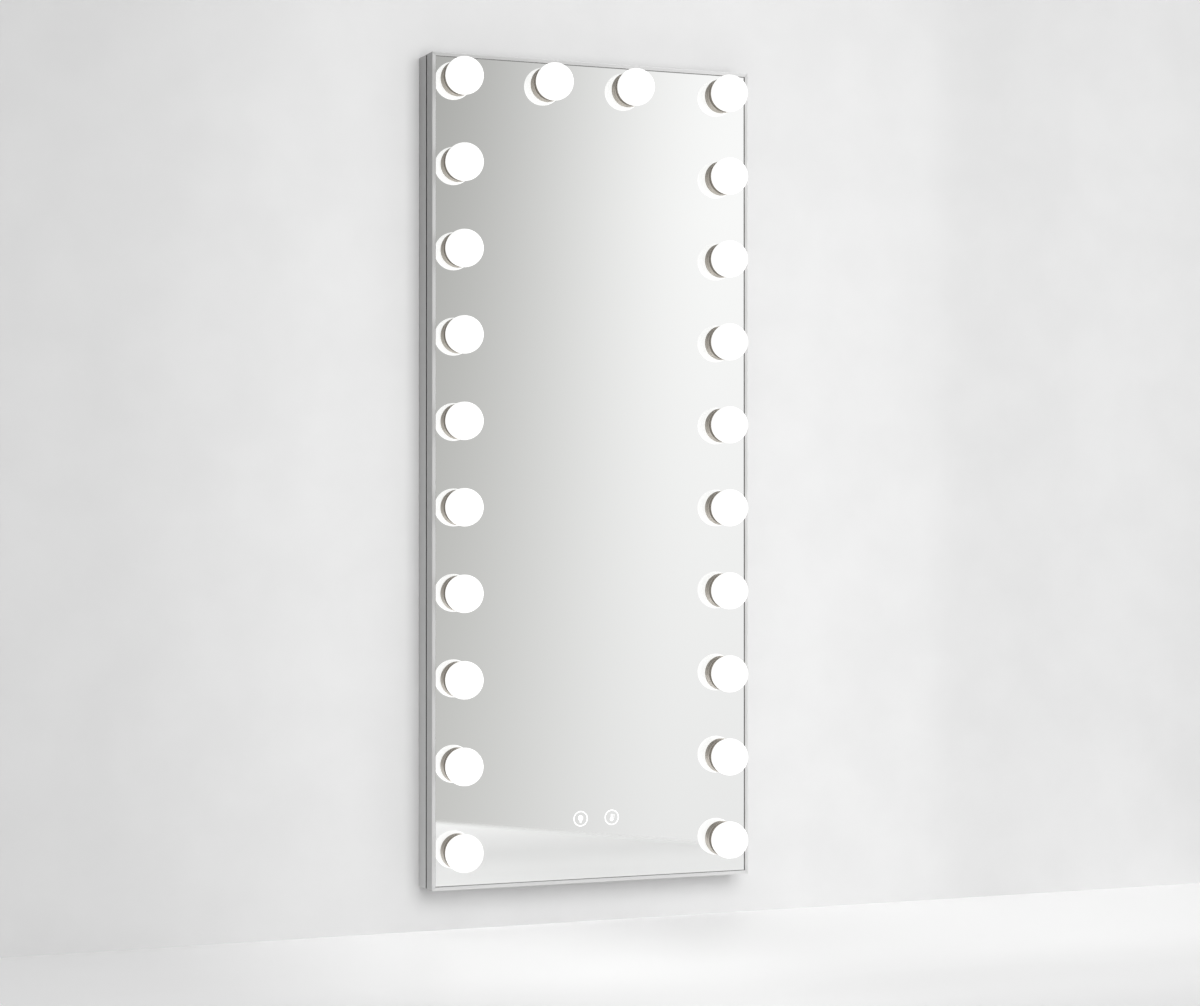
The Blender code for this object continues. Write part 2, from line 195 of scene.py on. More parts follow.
def makeBrushedGrain():
    # Long fine scratches. Stretch is the number of scratches in a metre along each axis.
    tree, given, result = newTree(
        "brushedGrain",
        "ShaderNodeTree",
        [vectorIn, ("Stretch", "NodeSocketVector", (900.0, 900.0, 8.0))],
        heightAndTone,
    )
    fine = multiplied(tree, given["Vector"], given["Stretch"])
    scratches = noise(tree, fine, 1.0, 5.0)
    bands = noise(tree, scaled(tree, fine, 0.11), 1.0, 2.0)
    both = math2(tree, "ADD", scratches, bands)
    fill(tree, result, {"Height": scratches, "Tone": math2(tree, "MULTIPLY", both, 0.5)})
    return tree


def makeFineSpeckle():
    # The dimples of powder coat, cast metal, moulded plastic and plaster. Size is in metres.
    tree, given, result = newTree(
        "fineSpeckle",
        "ShaderNodeTree",
        [vectorIn, ("Size", "NodeSocketFloat", 0.002)],
        heightAndTone,
    )
    dimples = noise(tree, given["Vector"], math2(tree, "DIVIDE", 1.0, given["Size"]), 3.0)
    patches = noise(tree, given["Vector"], 7.0, 4.0)
    fill(tree, result, {"Height": dimples, "Tone": patches})
    return tree


def makeHandling():
    # Faint smears and wiped haze. Amount is how much of the surface they cover.
    tree, given, result = newTree(
        "handling",
        "ShaderNodeTree",
        [vectorIn, ("Scale", "NodeSocketFloat", 9.0), ("Amount", "NodeSocketFloat", 0.4)],
        [("Mask", "NodeSocketFloat")],
    )
    smears = noise(tree, given["Vector"], given["Scale"], 6.0, Roughness=0.6, Distortion=0.7)
    edge = math2(tree, "SUBTRACT", 0.78, math2(tree, "MULTIPLY", given["Amount"], 0.5))
    fill(tree, result, {"Mask": ramp(tree, smears, edge, 0.85, 0.0, 1.0, smooth=True)})
    return tree


brushedGrain = makeBrushedGrain()
fineSpeckle = makeFineSpeckle()
handling = makeHandling()


def startMaterial(name, fixed):
    # Returns the material, its tree, its shader and its Object coordinates.
    material = bpy.data.materials.new(name)
    material.use_nodes = True
    tree = material.node_tree
    shader = tree.nodes["Principled BSDF"]
    for key, value in fixed.items():
        shader.inputs[key].default_value = value
    return material, tree, shader, tree.nodes.new("ShaderNodeTexCoord").outputs["Object"]


def coat(tree, shader, colour, roughness, bump=None):
    # bump is the height, its strength and its distance.
    fill(tree, shader, {"Base Color": colour, "Roughness": roughness})
    if bump:
        normal = nodeOut(tree, "ShaderNodeBump", dict(zip(("Height", "Strength", "Distance"), bump)))
        fill(tree, shader, {"Normal": normal})


# Materials

railFinish = {
    "pale": grey(0.88),
    "deep": grey(0.78),
    "standingRoughness": (0.40, 0.48),
    "lyingRoughness": (0.27, 0.36),
    "scratchesAcross": 1100.0,  # in a metre
    "scratchesAlong": 9.0,
    "anisotropy": 0.78,
    "side": (0.56, 0.78),  # painted shade: tone of the outer side, at the top and at the bottom
    "frontBand": 0.84,  # painted shade: how much darker it is in front of the groove
    "shade": grey(0.06),  # painted shade in the groove and on the inner lip
    "groove": (0.0323, 0.0377),  # behind the front of the rim
    "rim": 0.0070,
}


def brushedRail(name, axis):
    # Satin anodised aluminium, brushed along the rail, with painted shade on its outer side, in its groove
    # and on its inner lip.
    fixed = {"Metallic": 1.0, "Anisotropic": railFinish["anisotropy"]}
    material, tree, shader, coords = startMaterial(name, fixed)
    stretch = [railFinish["scratchesAcross"]] * 3
    stretch["XYZ".index(axis)] = railFinish["scratchesAlong"]
    grain = addGroup(tree, brushedGrain, {"Vector": coords, "Stretch": stretch})
    smears = addGroup(tree, handling, {"Vector": coords, "Scale": 6.0, "Amount": 0.5})
    colour = mixColour(tree, grain["Tone"], railFinish["deep"], railFinish["pale"])
    place = axes(tree, coords)
    high = cadBox[1][0] if axis == "Z" else cadBox[1][2]
    reach = math2(tree, "ABSOLUTE", place["X" if axis == "Z" else "Z"])
    behind = math2(tree, "SUBTRACT", place["Y"], rimFront)
    outside = math2(tree, "GREATER_THAN", reach, high - 0.0004)
    # Painted shade: the outer side is darker, more so at the top and in front of the groove.
    side = math2(tree, "MULTIPLY", outside, math2(tree, "GREATER_THAN", behind, 0.0008))
    upper, lower = railFinish["side"]
    level = ramp(tree, place["Z"], cadBox[0][2], cadBox[1][2], lower, upper)
    start, end = railFinish["groove"]
    level = math2(tree, "MULTIPLY", level, ramp(tree, behind, start, end, railFinish["frontBand"], 1.0))
    darkened = scaled(tree, colour, level)
    colour = mixColour(tree, side, colour, darkened)
    # Painted shade in the groove and on the rim's inner lip.
    groove = math2(tree, "COMPARE", behind, (start + end) / 2, (end - start) / 2)
    inside = math2(tree, "LESS_THAN", reach, high - railFinish["rim"] + 0.0001)
    colour = mixColour(tree, math2(tree, "MAXIMUM", groove, inside), colour, railFinish["shade"])
    least, most = railFinish["standingRoughness" if axis == "Z" else "lyingRoughness"]
    rough = ramp(tree, grain["Tone"], 0.3, 0.7, least, most)
    rough = math2(tree, "ADD", rough, math2(tree, "MULTIPLY", smears["Mask"], 0.05))
    fill(tree, shader, {"Tangent": nodeOut(tree, "ShaderNodeTangent", direction_type="RADIAL", axis=axis)})
    coat(tree, shader, colour, rough, (grain["Height"], 0.10, 0.0002))
    return material


plateFinish = {
    "silver": (0.932, 0.937, 0.930, 1.0),
    "edge": (0.42, 0.60, 0.52, 1.0),
    "backing": (0.36, 0.37, 0.38, 1.0),
    "lipShadow": (0.27, 0.27, 0.265, 1.0),
    "lipShadowWidth": 0.0011,  # painted shadow: the dark line beside the rim's inner lip
    "roughness": 0.012,
}


def silveredPlate():
    # Silver seen through the face, a green ground edge, grey paint on the back, and a painted shadow line
    # beside the rim.
    material, tree, shader, coords = startMaterial("silveredPlate", {})
    place = axes(tree, coords)
    backing = math2(tree, "GREATER_THAN", place["Y"], glassBack - 0.00005)
    normal = addNode(tree, "ShaderNodeNewGeometry").outputs["True Normal"]
    facing = math2(tree, "ABSOLUTE", axes(tree, normal)["Y"])
    edge = math2(tree, "LESS_THAN", facing, 0.5)
    smears = addGroup(tree, handling, {"Vector": coords, "Scale": 5.0, "Amount": 0.35})
    speckle = addGroup(tree, fineSpeckle, {"Vector": coords, "Size": 0.0015})
    darkened = math2(tree, "MULTIPLY", smears["Mask"], 0.02)
    silver = mixColour(tree, darkened, plateFinish["silver"], grey(0.80))
    paint = mixColour(tree, speckle["Tone"], plateFinish["backing"], grey(0.43))
    # Painted shadow: a dark, less metallic line along the rim's inner lip.
    lip = railFinish["rim"] + plateFinish["lipShadowWidth"]
    beyondX = math2(tree, "GREATER_THAN", math2(tree, "ABSOLUTE", place["X"]), cadBox[1][0] - lip)
    beyondZ = math2(tree, "GREATER_THAN", math2(tree, "ABSOLUTE", place["Z"]), cadBox[1][2] - lip)
    lipShadow = math2(tree, "MAXIMUM", beyondX, beyondZ)
    silver = mixColour(tree, lipShadow, silver, plateFinish["lipShadow"])
    colour = mixColour(tree, edge, silver, plateFinish["edge"])
    colour = mixColour(tree, backing, colour, paint)
    covered = largest(tree, lipShadow, backing, edge)
    polish = math2(tree, "MULTIPLY_ADD", smears["Mask"], 0.010, plateFinish["roughness"])
    rough = math2(tree, "MAXIMUM", polish, math2(tree, "MULTIPLY", covered, 0.5))
    fill(tree, shader, {"Metallic": math2(tree, "SUBTRACT", 1.0, covered)})
    coat(tree, shader, colour, rough, (math2(tree, "MULTIPLY", speckle["Height"], backing), 0.2, 0.0002))
    return material


globeFinish = {
    "glow": 0.86,
    "front": (1.0, 1.0, 1.0, 1.0),
    "neck": (1.0, 0.955, 0.89, 1.0),
    "limb": (0.93, 0.925, 0.91, 1.0),
    "body": (grey(0.34, 0.01), grey(0.38, 0.01)),
}


def opalGlass():
    # Lit from within, a little warmer and dimmer towards the neck.
    fixed = {"Emission Strength": globeFinish["glow"], "Coat Weight": 0.25, "Coat Roughness": 0.05}
    material, tree, shader, coords = startMaterial("opalGlass", fixed)
    place = axes(tree, coords)
    outwards = math2(tree, "SUBTRACT", glassFront, place["Y"])
    front = ramp(tree, outwards, 0.004, 0.022, 0.0, 1.0, smooth=True)
    cloud = addGroup(tree, fineSpeckle, {"Vector": coords, "Size": 0.012})
    glow = mixColour(tree, front, globeFinish["neck"], globeFinish["front"])
    glow = mixColour(tree, ramp(tree, cloud["Height"], 0.3, 0.7, 0.0, 0.05), glow, grey(0.9, 0.02))
    limb = addNode(tree, "ShaderNodeLayerWeight", {"Blend": 0.35}).outputs["Facing"]
    glow = mixColour(tree, ramp(tree, limb, 0.6, 1.0, 0.0, 1.0, smooth=True), glow, globeFinish["limb"])
    body = mixColour(tree, cloud["Height"], *globeFinish["body"])
    fill(tree, shader, {"Emission Color": glow})
    coat(tree, shader, body, ramp(tree, cloud["Tone"], 0.3, 0.7, 0.24, 0.34))
    return material


cupFinish = {"pale": (0.84, 0.79, 0.73, 1.0), "deep": (0.68, 0.62, 0.55, 1.0), "roughness": (0.24, 0.40)}


def turnedNickel():
    # Champagne nickel with lathe marks, which follow the piece's own UV map.
    material, tree, shader, coords = startMaterial("turnedNickel", {"Metallic": 1.0})
    around = tree.nodes["Texture Coordinate"].outputs["UV"]
    grain = addGroup(tree, brushedGrain, {"Vector": around, "Stretch": (14.0, 3200.0, 1.0)})
    smears = addGroup(tree, handling, {"Vector": coords, "Scale": 60.0, "Amount": 0.4})
    colour = mixColour(tree, grain["Tone"], cupFinish["deep"], cupFinish["pale"])
    least, most = cupFinish["roughness"]
    rough = ramp(tree, grain["Tone"], 0.3, 0.7, least, most)
    rough = math2(tree, "ADD", rough, math2(tree, "MULTIPLY", smears["Mask"], 0.06))
    coat(tree, shader, colour, rough, (grain["Height"], 0.25, 0.0001))
    return material


def speckled(name, pale, deep, roughness, size, strength, fixed=None, distance=0.0003):
    # A plain finish with a dimpled surface: powder coat, casting, moulding or laminate.
    material, tree, shader, coords = startMaterial(name, fixed or {})
    speckle = addGroup(tree, fineSpeckle, {"Vector": coords, "Size": size})
    smears = addGroup(tree, handling, {"Vector": coords, "Scale": 12.0, "Amount": 0.5})
    blend = math2(tree, "MULTIPLY", math2(tree, "ADD", speckle["Height"], speckle["Tone"]), 0.5)
    worn = ramp(tree, speckle["Tone"], 0.3, 0.7, *roughness)
    rough = math2(tree, "MULTIPLY_ADD", smears["Mask"], 0.08, worn)
    coat(tree, shader, mixColour(tree, blend, deep, pale), rough, (speckle["Height"], strength, distance))
    return material


def zincPlate(name, pale, deep):
    # Bright zinc with its faint bloom, over a rolled grain.
    material, tree, shader, coords = startMaterial(name, {"Metallic": 1.0})
    grain = addGroup(tree, brushedGrain, {"Vector": coords, "Stretch": (1500.0, 1500.0, 60.0)})
    speckle = addGroup(tree, fineSpeckle, {"Vector": coords, "Size": 0.009})
    bloom = ramp(tree, speckle["Height"], 0.35, 0.65, 0.0, 1.0, smooth=True)
    rough = ramp(tree, grain["Tone"], 0.3, 0.7, 0.28, 0.44)
    coat(tree, shader, mixColour(tree, bloom, deep, pale), rough, (grain["Height"], 0.15, 0.0001))
    return material


def wovenSleeve():
    # A braid of two sets of strands, on the sleeve's own UV map: turns round it by metres along it.
    material, tree, shader, coords = startMaterial("wovenSleeve", {})
    place = axes(tree, tree.nodes["Texture Coordinate"].outputs["UV"])
    strands = []
    for lean in (1.0, -1.0):
        along = math2(tree, "MULTIPLY", place["Y"], 260.0 * math.tau)
        phase = math2(tree, "MULTIPLY_ADD", place["X"], 8.0 * lean * math.tau, along)
        strands.append(math2(tree, "SINE", phase))
    height = math2(tree, "MAXIMUM", *strands)
    factor = ramp(tree, height, -0.4, 1.0, 0.0, 1.0)
    # The low places between the strands are darker: painted shade.
    colour = mixColour(tree, factor, grey(0.012), grey(0.075))
    coat(tree, shader, colour, ramp(tree, height, -0.4, 1.0, 0.75, 0.5), (height, 0.6, 0.0003))
    return material


plainFinishes = {  # pale and deep colours, roughness, dimple size and strength, fixed inputs
    # painted shade: the dark band on each lamp cup's neck, under the globe
    "neckShade": ((0.28, 0.255, 0.22, 1.0), (0.20, 0.18, 0.15, 1.0), (0.5, 0.65), 0.0008, 0.2),
    "powderCoat": (grey(0.60), grey(0.53), (0.42, 0.52), 0.0016, 0.35),
    "dieCast": (grey(0.56), grey(0.44), (0.38, 0.52), 0.0012, 0.3, {"Metallic": 1.0}),
    "housing": (grey(0.87, 0.01), grey(0.83, 0.01), (0.40, 0.50), 0.0009, 0.25),
    "nylon": (grey(0.80, 0.02), grey(0.74, 0.02), (0.36, 0.46), 0.0015, 0.12),
    "laminate": ((0.05, 0.26, 0.14, 1.0), (0.03, 0.19, 0.10, 1.0), (0.30, 0.42), 0.002, 0.1),
    "component": (grey(0.045), grey(0.028), (0.40, 0.55), 0.0006, 0.2),
    "rubber": (grey(0.040), grey(0.024), (0.68, 0.82), 0.0010, 0.3),
    "whiteLead": (grey(0.82, 0.01), grey(0.76, 0.01), (0.38, 0.5), 0.002, 0.08),
    "greyLead": (grey(0.23), grey(0.19), (0.38, 0.5), 0.002, 0.08),
    "ledBoard": (grey(0.90), grey(0.86), (0.35, 0.45), 0.003, 0.06),
    "phosphor": ((0.95, 0.78, 0.30, 1.0), (0.90, 0.70, 0.22, 1.0), (0.45, 0.6), 0.0005, 0.1),
}
finishes = {
    "standingRail": brushedRail("standingRail", "Z"),
    "lyingRail": brushedRail("lyingRail", "X"),
    "plate": silveredPlate(),
    "opal": opalGlass(),
    "nickel": turnedNickel(),
    "zinc": zincPlate("zinc", (0.72, 0.74, 0.77, 1.0), (0.62, 0.63, 0.64, 1.0)),
    "fixing": zincPlate("fixing", (0.78, 0.78, 0.77, 1.0), (0.60, 0.60, 0.59, 1.0)),
    "sleeve": wovenSleeve(),
}
finishes |= {name: speckled(name, *values) for name, values in plainFinishes.items()}


def etchedSign():
    # Frosted lines where the silver is cut away and the light behind shows.
    material, tree, shader, coords = startMaterial("etchedSign", {"Emission Strength": 0.55})
    speckle = addGroup(tree, fineSpeckle, {"Vector": coords, "Size": 0.0006})
    fill(tree, shader, {"Emission Color": mixColour(tree, speckle["Tone"], grey(0.94), grey(1.0))})
    colour = mixColour(tree, speckle["Height"], grey(0.84), grey(0.93))
    rough = ramp(tree, speckle["Height"], 0.3, 0.7, 0.45, 0.6)
    coat(tree, shader, colour, rough, (speckle["Height"], 0.15, 0.0001))
    return material


finishes["sign"] = etchedSign()

for node, finish in (
    ("frame_left", "standingRail"),
    ("frame_right", "standingRail"),
    ("frame_top", "lyingRail"),
    ("frame_bottom", "lyingRail"),
    ("mirror_glass", "plate"),
    ("corner_key_top_left", "dieCast"),
    ("corner_key_top_right", "dieCast"),
    ("corner_key_bottom_left", "dieCast"),
    ("corner_key_bottom_right", "dieCast"),
    ("touch_sensor_board", "laminate"),
):
    for slotOnNode in nodes[node].material_slots:
        slotOnNode.material = finishes[finish]
print("finishes made:", len(finishes))


# Mesh helpers

def addPiece(name, mesh, body="mirror", replaced=(), sharp=30.0, flatAxes=(1,)):
    # Faces square to these axes stay flat, so the rounded edges don't shade them.
    mesh.name = name
    mesh.shade_smooth()
    mesh.set_sharp_from_angle(angle=math.radians(sharp))
    for face in mesh.polygons:
        if any(abs(face.normal[axis]) > 0.99999 for axis in flatAxes):
            face.use_smooth = False
    piece = bpy.data.objects.new(name, mesh)
    scene.collection.objects.link(piece)
    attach(piece, body)
    if replaced:
        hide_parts(*replaced)
    return piece


def signedVolume(mesh):
    total = 0.0
    for face in mesh.polygons:
        corners = [mesh.vertices[i].co for i in face.vertices]
        for second, third in zip(corners[1:], corners[2:]):
            total += corners[0].dot(second.cross(third))
    return total


def turnedMesh(rings, place, segments, materials, features=None):
    # Turns (radius, height, feature, material) rings round a lamp's own axis, height being outwards.
    # A ring with no radius is a pole. Without poles the last ring joins the first.
    features = features or {}
    x, y, z = place
    points, starts, lengths = [], [], []
    along = 0.0
    before = None
    for radius, height, feature, _ in rings:
        starts.append(len(points))
        if before:
            along += math.dist(before, (radius, height))
        before = (radius, height)
        lengths.append(along)
        for i in range(segments if radius else 1):
            angle = math.tau * i / segments
            reach = radius + (features[feature](angle) if feature else 0.0)
            points.append((x + reach * math.cos(angle), y - height, z + reach * math.sin(angle)))
    closed = rings[0][0] > 0.0
    faces, corners, kinds = [], [], []
    for i in range(len(rings) if closed else len(rings) - 1):
        j = (i + 1) % len(rings)
        far = lengths[j] if j else along + math.dist(before, rings[0][:2])
        for k in range(segments):
            m = (k + 1) % segments
            left, right = k / segments, (k + 1) / segments
            lower = [(starts[i] + k, left), (starts[i] + m, right)] if rings[i][0] else [(starts[i], left)]
            upper = [(starts[j] + m, right), (starts[j] + k, left)] if rings[j][0] else [(starts[j], left)]
            faces.append([index for index, _ in lower + upper])
            corners += [(turn, lengths[i]) for _, turn in lower] + [(turn, far) for _, turn in upper]
            kinds.append(rings[i][3])
    mesh = bpy.data.meshes.new("turned")
    mesh.from_pydata(points, [], faces)
    uv = mesh.uv_layers.new(name="UVMap")
    uv.data.foreach_set("uv", [value for corner in corners for value in corner])
    for material in materials:
        mesh.materials.append(material)
    mesh.polygons.foreach_set("material_index", kinds)
    if signedVolume(mesh) < 0:
        mesh.flip_normals()
    mesh.update()
    return mesh


def arcPoints(centre, radius, start, end, steps):
    points = []
    for i in range(steps + 1):
        angle = math.radians(start + (end - start) * i / steps)
        points.append((centre[0] + radius * math.cos(angle), centre[1] + radius * math.sin(angle)))
    return points


def roundedRectangle(centre, width, height, radius, steps=6):
    x, z = width / 2 - radius, height / 2 - radius
    points = []
    for start, cornerX, cornerZ in ((0, x, z), (90, -x, z), (180, -x, -z), (270, x, -z)):
        points += arcPoints((centre[0] + cornerX, centre[1] + cornerZ), radius, start, start + 90, steps)
    return points


def circlePoints(centre, radius, steps=32):
    return arcPoints(centre, radius, 0, 360, steps)[:-1]


def plateMesh(loops, frontY, backY, material, bevel=0.0002):
    # A flat plate in the XZ plane whose first loop is its outline and whose others are holes.
    curve = bpy.data.curves.new("plate", "CURVE")
    curve.dimensions = "2D"
    curve.fill_mode = "BOTH"
    curve.extrude = (backY - frontY) / 2 - bevel
    curve.bevel_depth = bevel
    curve.bevel_resolution = 1
    curve.offset = -bevel
    for loop in loops:
        spline = curve.splines.new("POLY")
        spline.points.add(len(loop) - 1)
        for point, (x, z) in zip(spline.points, loop):
            point.co = (x, z, 0.0, 1.0)
        spline.use_cyclic_u = True
    drawn = bpy.data.objects.new("plate", curve)
    scene.collection.objects.link(drawn)
    bpy.context.view_layer.update()
    mesh = bpy.data.meshes.new_from_object(drawn.evaluated_get(bpy.context.evaluated_depsgraph_get()))
    bpy.data.objects.remove(drawn)
    middle = (frontY + backY) / 2
    for vertex in mesh.vertices:
        x, z, depth = vertex.co
        vertex.co = (x, middle - depth, z)
    bm = bmesh.new()
    bm.from_mesh(mesh)
    bmesh.ops.remove_doubles(bm, verts=bm.verts, dist=0.00001)
    bmesh.ops.recalc_face_normals(bm, faces=bm.faces)
    bm.to_mesh(mesh)
    bm.free()
    mesh.materials.clear()
    mesh.materials.append(material)
    return mesh


def addBox(bm, low, high, bevel, segments=2, materialIndex=0):
    made = bmesh.ops.create_cube(bm, size=1.0)["verts"]
    size = [b - a for a, b in zip(low, high)]
    bmesh.ops.scale(bm, verts=made, vec=size)
    bmesh.ops.translate(bm, verts=made, vec=[(a + b) / 2 for a, b in zip(low, high)])
    edges = list({edge for vertex in made for edge in vertex.link_edges})
    faces = {face for vertex in made for face in vertex.link_faces}
    if bevel:
        done = bmesh.ops.bevel(bm, geom=edges, offset=bevel, segments=segments, affect="EDGES", profile=0.5)
        faces = {face for face in faces if face.is_valid} | set(done["faces"])
    for face in faces:
        face.material_index = materialIndex


def meshFrom(bm, materials):
    mesh = bpy.data.meshes.new("boxes")
    bm.to_mesh(mesh)
    bm.free()
    for material in materials:
        mesh.materials.append(material)
    return mesh


# Lamps: radii, and heights above the mirror face

lampShape = {
    "segments": 96,
    "globeRadius": 0.0365,
    "globeCentre": 0.0330,
    "wall": 0.0018,
    "mouth": 0.0123,  # where the ball meets its neck
    "neckRadius": 0.0230,
    "neckEnd": 0.0040,
    "lugTop": 0.0096,
    "lugReach": 0.0032,
    "lugHalfAngle": 14.0,  # degrees
    "collarRadius": 0.0340,
    "collarBand": 0.0085,
    "collarFoot": 0.0003,
    "neckBandRadius": 0.0330,
    "cupRadius": 0.0280,
    "cupFloor": 0.0030,
    "cupTop": 0.0120,
    "tabBottom": 0.0100,
    "tabReach": 0.0036,
    "ribDepth": 0.00022,
    "stemRadius": 0.0100,
    "boreRadius": 0.0062,
    "stemLength": 0.0240,
    "threadPitch": 0.0015,
    "threadDepth": 0.0007,
}


def inSector(angle):
    return abs(math.cos(angle)) > math.cos(math.radians(lampShape["lugHalfAngle"]))


def globeRings(shape):
    def ball(radius, lowest, bands):
        widest = math.acos((lowest - shape["globeCentre"]) / radius)
        turns = [widest * i / bands for i in range(1, bands + 1)]
        return [(radius * math.sin(t), shape["globeCentre"] + radius * math.cos(t)) for t in turns]

    radius, wall = shape["globeRadius"], shape["wall"]
    neck, innerNeck = shape["neckRadius"], shape["neckRadius"] - shape["wall"]
    mouth, lugTop, end = shape["mouth"], shape["lugTop"], shape["neckEnd"]
    step = 0.0003
    plain = [(0.0, shape["globeCentre"] + radius)]
    plain += ball(radius, mouth + step, 34)
    rings = [(r, h, None, 0) for r, h in plain]
    lip = rings[-1][0] - step
    rings += [(lip, mouth, None, 0), (neck + 2 * step, mouth, None, 0), (neck, mouth - 2 * step, None, 0)]
    rings += [(neck, lugTop + step, None, 0), (neck, lugTop, "lug", 0), (neck, end + 2 * step, "lug", 0)]
    rings += [(neck, end + step, None, 0), (neck - step, end, None, 0), (innerNeck + step, end, None, 0)]
    rings += [(innerNeck, end + step, None, 0), (innerNeck, mouth + wall, None, 0)]
    inner = ball(radius - wall, mouth + wall, 22)
    rings += [(r, h, None, 0) for r, h in inner[::-1]]
    rings.append((0.0, shape["globeCentre"] + radius - wall, None, 0))
    return rings


def baseRings(shape):
    cup, floor, top = shape["cupRadius"], shape["cupFloor"], shape["cupTop"]
    collar, band, foot = shape["collarRadius"], shape["collarBand"], shape["collarFoot"]
    neckBand, stem, bore = shape["neckBandRadius"], shape["stemRadius"], shape["boreRadius"]
    step = 0.0003
    rings = [
        (bore, floor, None, 0),
        (cup - 2 * step, floor, None, 0),
        (cup, floor + 2 * step, None, 0),
        (cup, shape["tabBottom"] - step, None, 0),
        (cup, shape["tabBottom"], "tab", 0),
        (cup, top - step, "tab", 0),
        # Index 1 is the neck band, coloured dark as painted shade under the globe.
        (cup + step, top, None, 1),
        (neckBand - step, top, None, 1),
        (neckBand, top - step, None, 1),
        (neckBand, band + step / 2, None, 1),
        (neckBand + step, band, None, 0),
        (collar - 2 * step, band, None, 0),
        (collar - step / 2, band - step / 2, None, 0),
        (collar, band - 2 * step, None, 0),
        (collar, band - 4 * step, None, 0),
        (collar, band - 5 * step, "rib", 0),
        (collar, foot + 6 * step, "rib", 0),
        (collar, foot + 5 * step, None, 0),
        (collar, foot + step, None, 0),
        (collar - step, foot, None, 0),
        (stem, foot, None, 0),
    ]
    crest = -0.0045  # below the plate, where the thread starts
    rings.append((stem, crest, None, 0))
    root = stem - shape["threadDepth"]
    while crest - shape["threadPitch"] > -shape["stemLength"] + step:
        rings.append((root, crest - shape["threadPitch"] * 0.5, None, 0))
        crest -= shape["threadPitch"]
        rings.append((stem, crest, None, 0))
    rings += [(root, -shape["stemLength"], None, 0), (bore, -shape["stemLength"], None, 0)]
    return rings


def makeLamps(shape):
    features = {
        "lug": lambda angle: shape["lugReach"] if inSector(angle) else 0.0,
        "tab": lambda angle: -shape["tabReach"] if inSector(angle) else 0.0,
        "rib": lambda angle: -shape["ribDepth"] * (0.5 - 0.5 * math.cos(shape["segments"] / 2 * angle)),
    }
    for name, (x, z) in lamps.items():
        place = (x, glassFront, z)
        globe = turnedMesh(globeRings(shape), place, shape["segments"], [finishes["opal"]], features)
        addPiece(f"opal_globe_{name}", globe, f"globe_{name}", [f"globe_{name}"])
        # The second finish, on the neck band, is painted shade.
        metals = [finishes["nickel"], finishes["neckShade"]]
        base = turnedMesh(baseRings(shape), place, shape["segments"], metals, features)
        addPiece(f"lamp_cup_{name}", base, "mirror", [f"lamp_base_{name}"])


makeLamps(lampShape)
print("lamps made:", len(lamps))


# Touch signs etched in the plate

signShape = {
    "ringRadius": 0.0139,  # to the middle of the line
    "line": 0.0019,
    "thickness": 0.00012,
    "spacing": 0.0654,
}


def bulbOutline(x, z):
    head = arcPoints((x, z + 0.0014), 0.0052, -50, 230, 24)
    return head + [(x - 0.0025, z - 0.0046), (x + 0.0025, z - 0.0046)]


def thermometerOutline(x, z):
    bulb = arcPoints((x, z - 0.0036), 0.0036, 120, 420, 20)
    return bulb + arcPoints((x, z + 0.0048), 0.0018, 0, 180, 10)


def makeSigns(shape):
    low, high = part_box("touch_sensor_board")
    middle, z = (low.x + high.x) / 2, (low.z + high.z) / 2
    half = shape["spacing"] / 2
    back = glassFront - 0.00001
    front = back - shape["thickness"]
    for name, x in (("left", middle - half), ("right", middle + half)):
        radius, line = shape["ringRadius"], shape["line"] / 2
        rings = [circlePoints((x, z), radius + line, 72), circlePoints((x, z), radius - line, 72)]
        ring = plateMesh(rings, front, back, finishes["sign"], 0.00002)
        addPiece(f"touch_ring_{name}", ring, "mirror")
        if name == "left":
            shapes = [
                [bulbOutline(x, z)],
                [roundedRectangle((x, z - 0.0059), 0.0048, 0.0012, 0.0005)],
                [roundedRectangle((x, z - 0.0077), 0.0034, 0.0012, 0.0005)],
            ]
        else:
            shapes = [[thermometerOutline(x, z)]]
            for i in range(3):
                mark = (x + 0.0046, z + 0.0050 - 0.0024 * i)
                shapes.append([roundedRectangle(mark, 0.0026, 0.0010, 0.0004)])
        joined = bmesh.new()
        for loops in shapes:
            joined.from_mesh(plateMesh(loops, front, back, finishes["sign"], 0.00002))
        addPiece(f"touch_symbol_{name}", meshFrom(joined, [finishes["sign"]]), "mirror")


makeSigns(signShape)
print("touch signs made")


# Back panel, with flush fixings in its holes

panelShape = {
    "screwInset": 0.0095,  # from the plate's outer edge
    "screwsAlong": 9,
    "screwsAcross": 4,
    "screwHole": 0.0036,
    "rivetHole": 0.0028,
    "rivetReach": (0.0215, 0.0315),  # from a hanger's middle
    "window": (0.034, 0.052, 0.003),
    "grommetHole": 0.0109,
}


def spread(low, high, count):
    return [low + (high - low) * i / (count - 1) for i in range(count)]


def panelFixings(shape):
    low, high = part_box("back_panel")
    inset = shape["screwInset"]
    left, right, bottom, top = low.x + inset, high.x - inset, low.z + inset, high.z - inset
    alongZ = spread(bottom + 0.03, top - 0.03, shape["screwsAlong"])
    acrossX = spread(left + 0.06, right - 0.06, shape["screwsAcross"])
    screws = [(x, z) for x in (left, right) for z in alongZ]
    screws += [(x, z) for z in (bottom, top) for x in acrossX]
    rivets = []
    for hanger in ("hanger_left", "hanger_right"):
        x, z = middleOf(hanger)
        reachX, reachZ = shape["rivetReach"]
        rivets += [(x + i * reachX, z + j * reachZ) for i in (-1, 1) for j in (-1, 1)]
    return screws, rivets


def middleOf(node):
    low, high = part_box(node)
    return (low.x + high.x) / 2, (low.z + high.z) / 2


screwPlaces, rivetPlaces = panelFixings(panelShape)


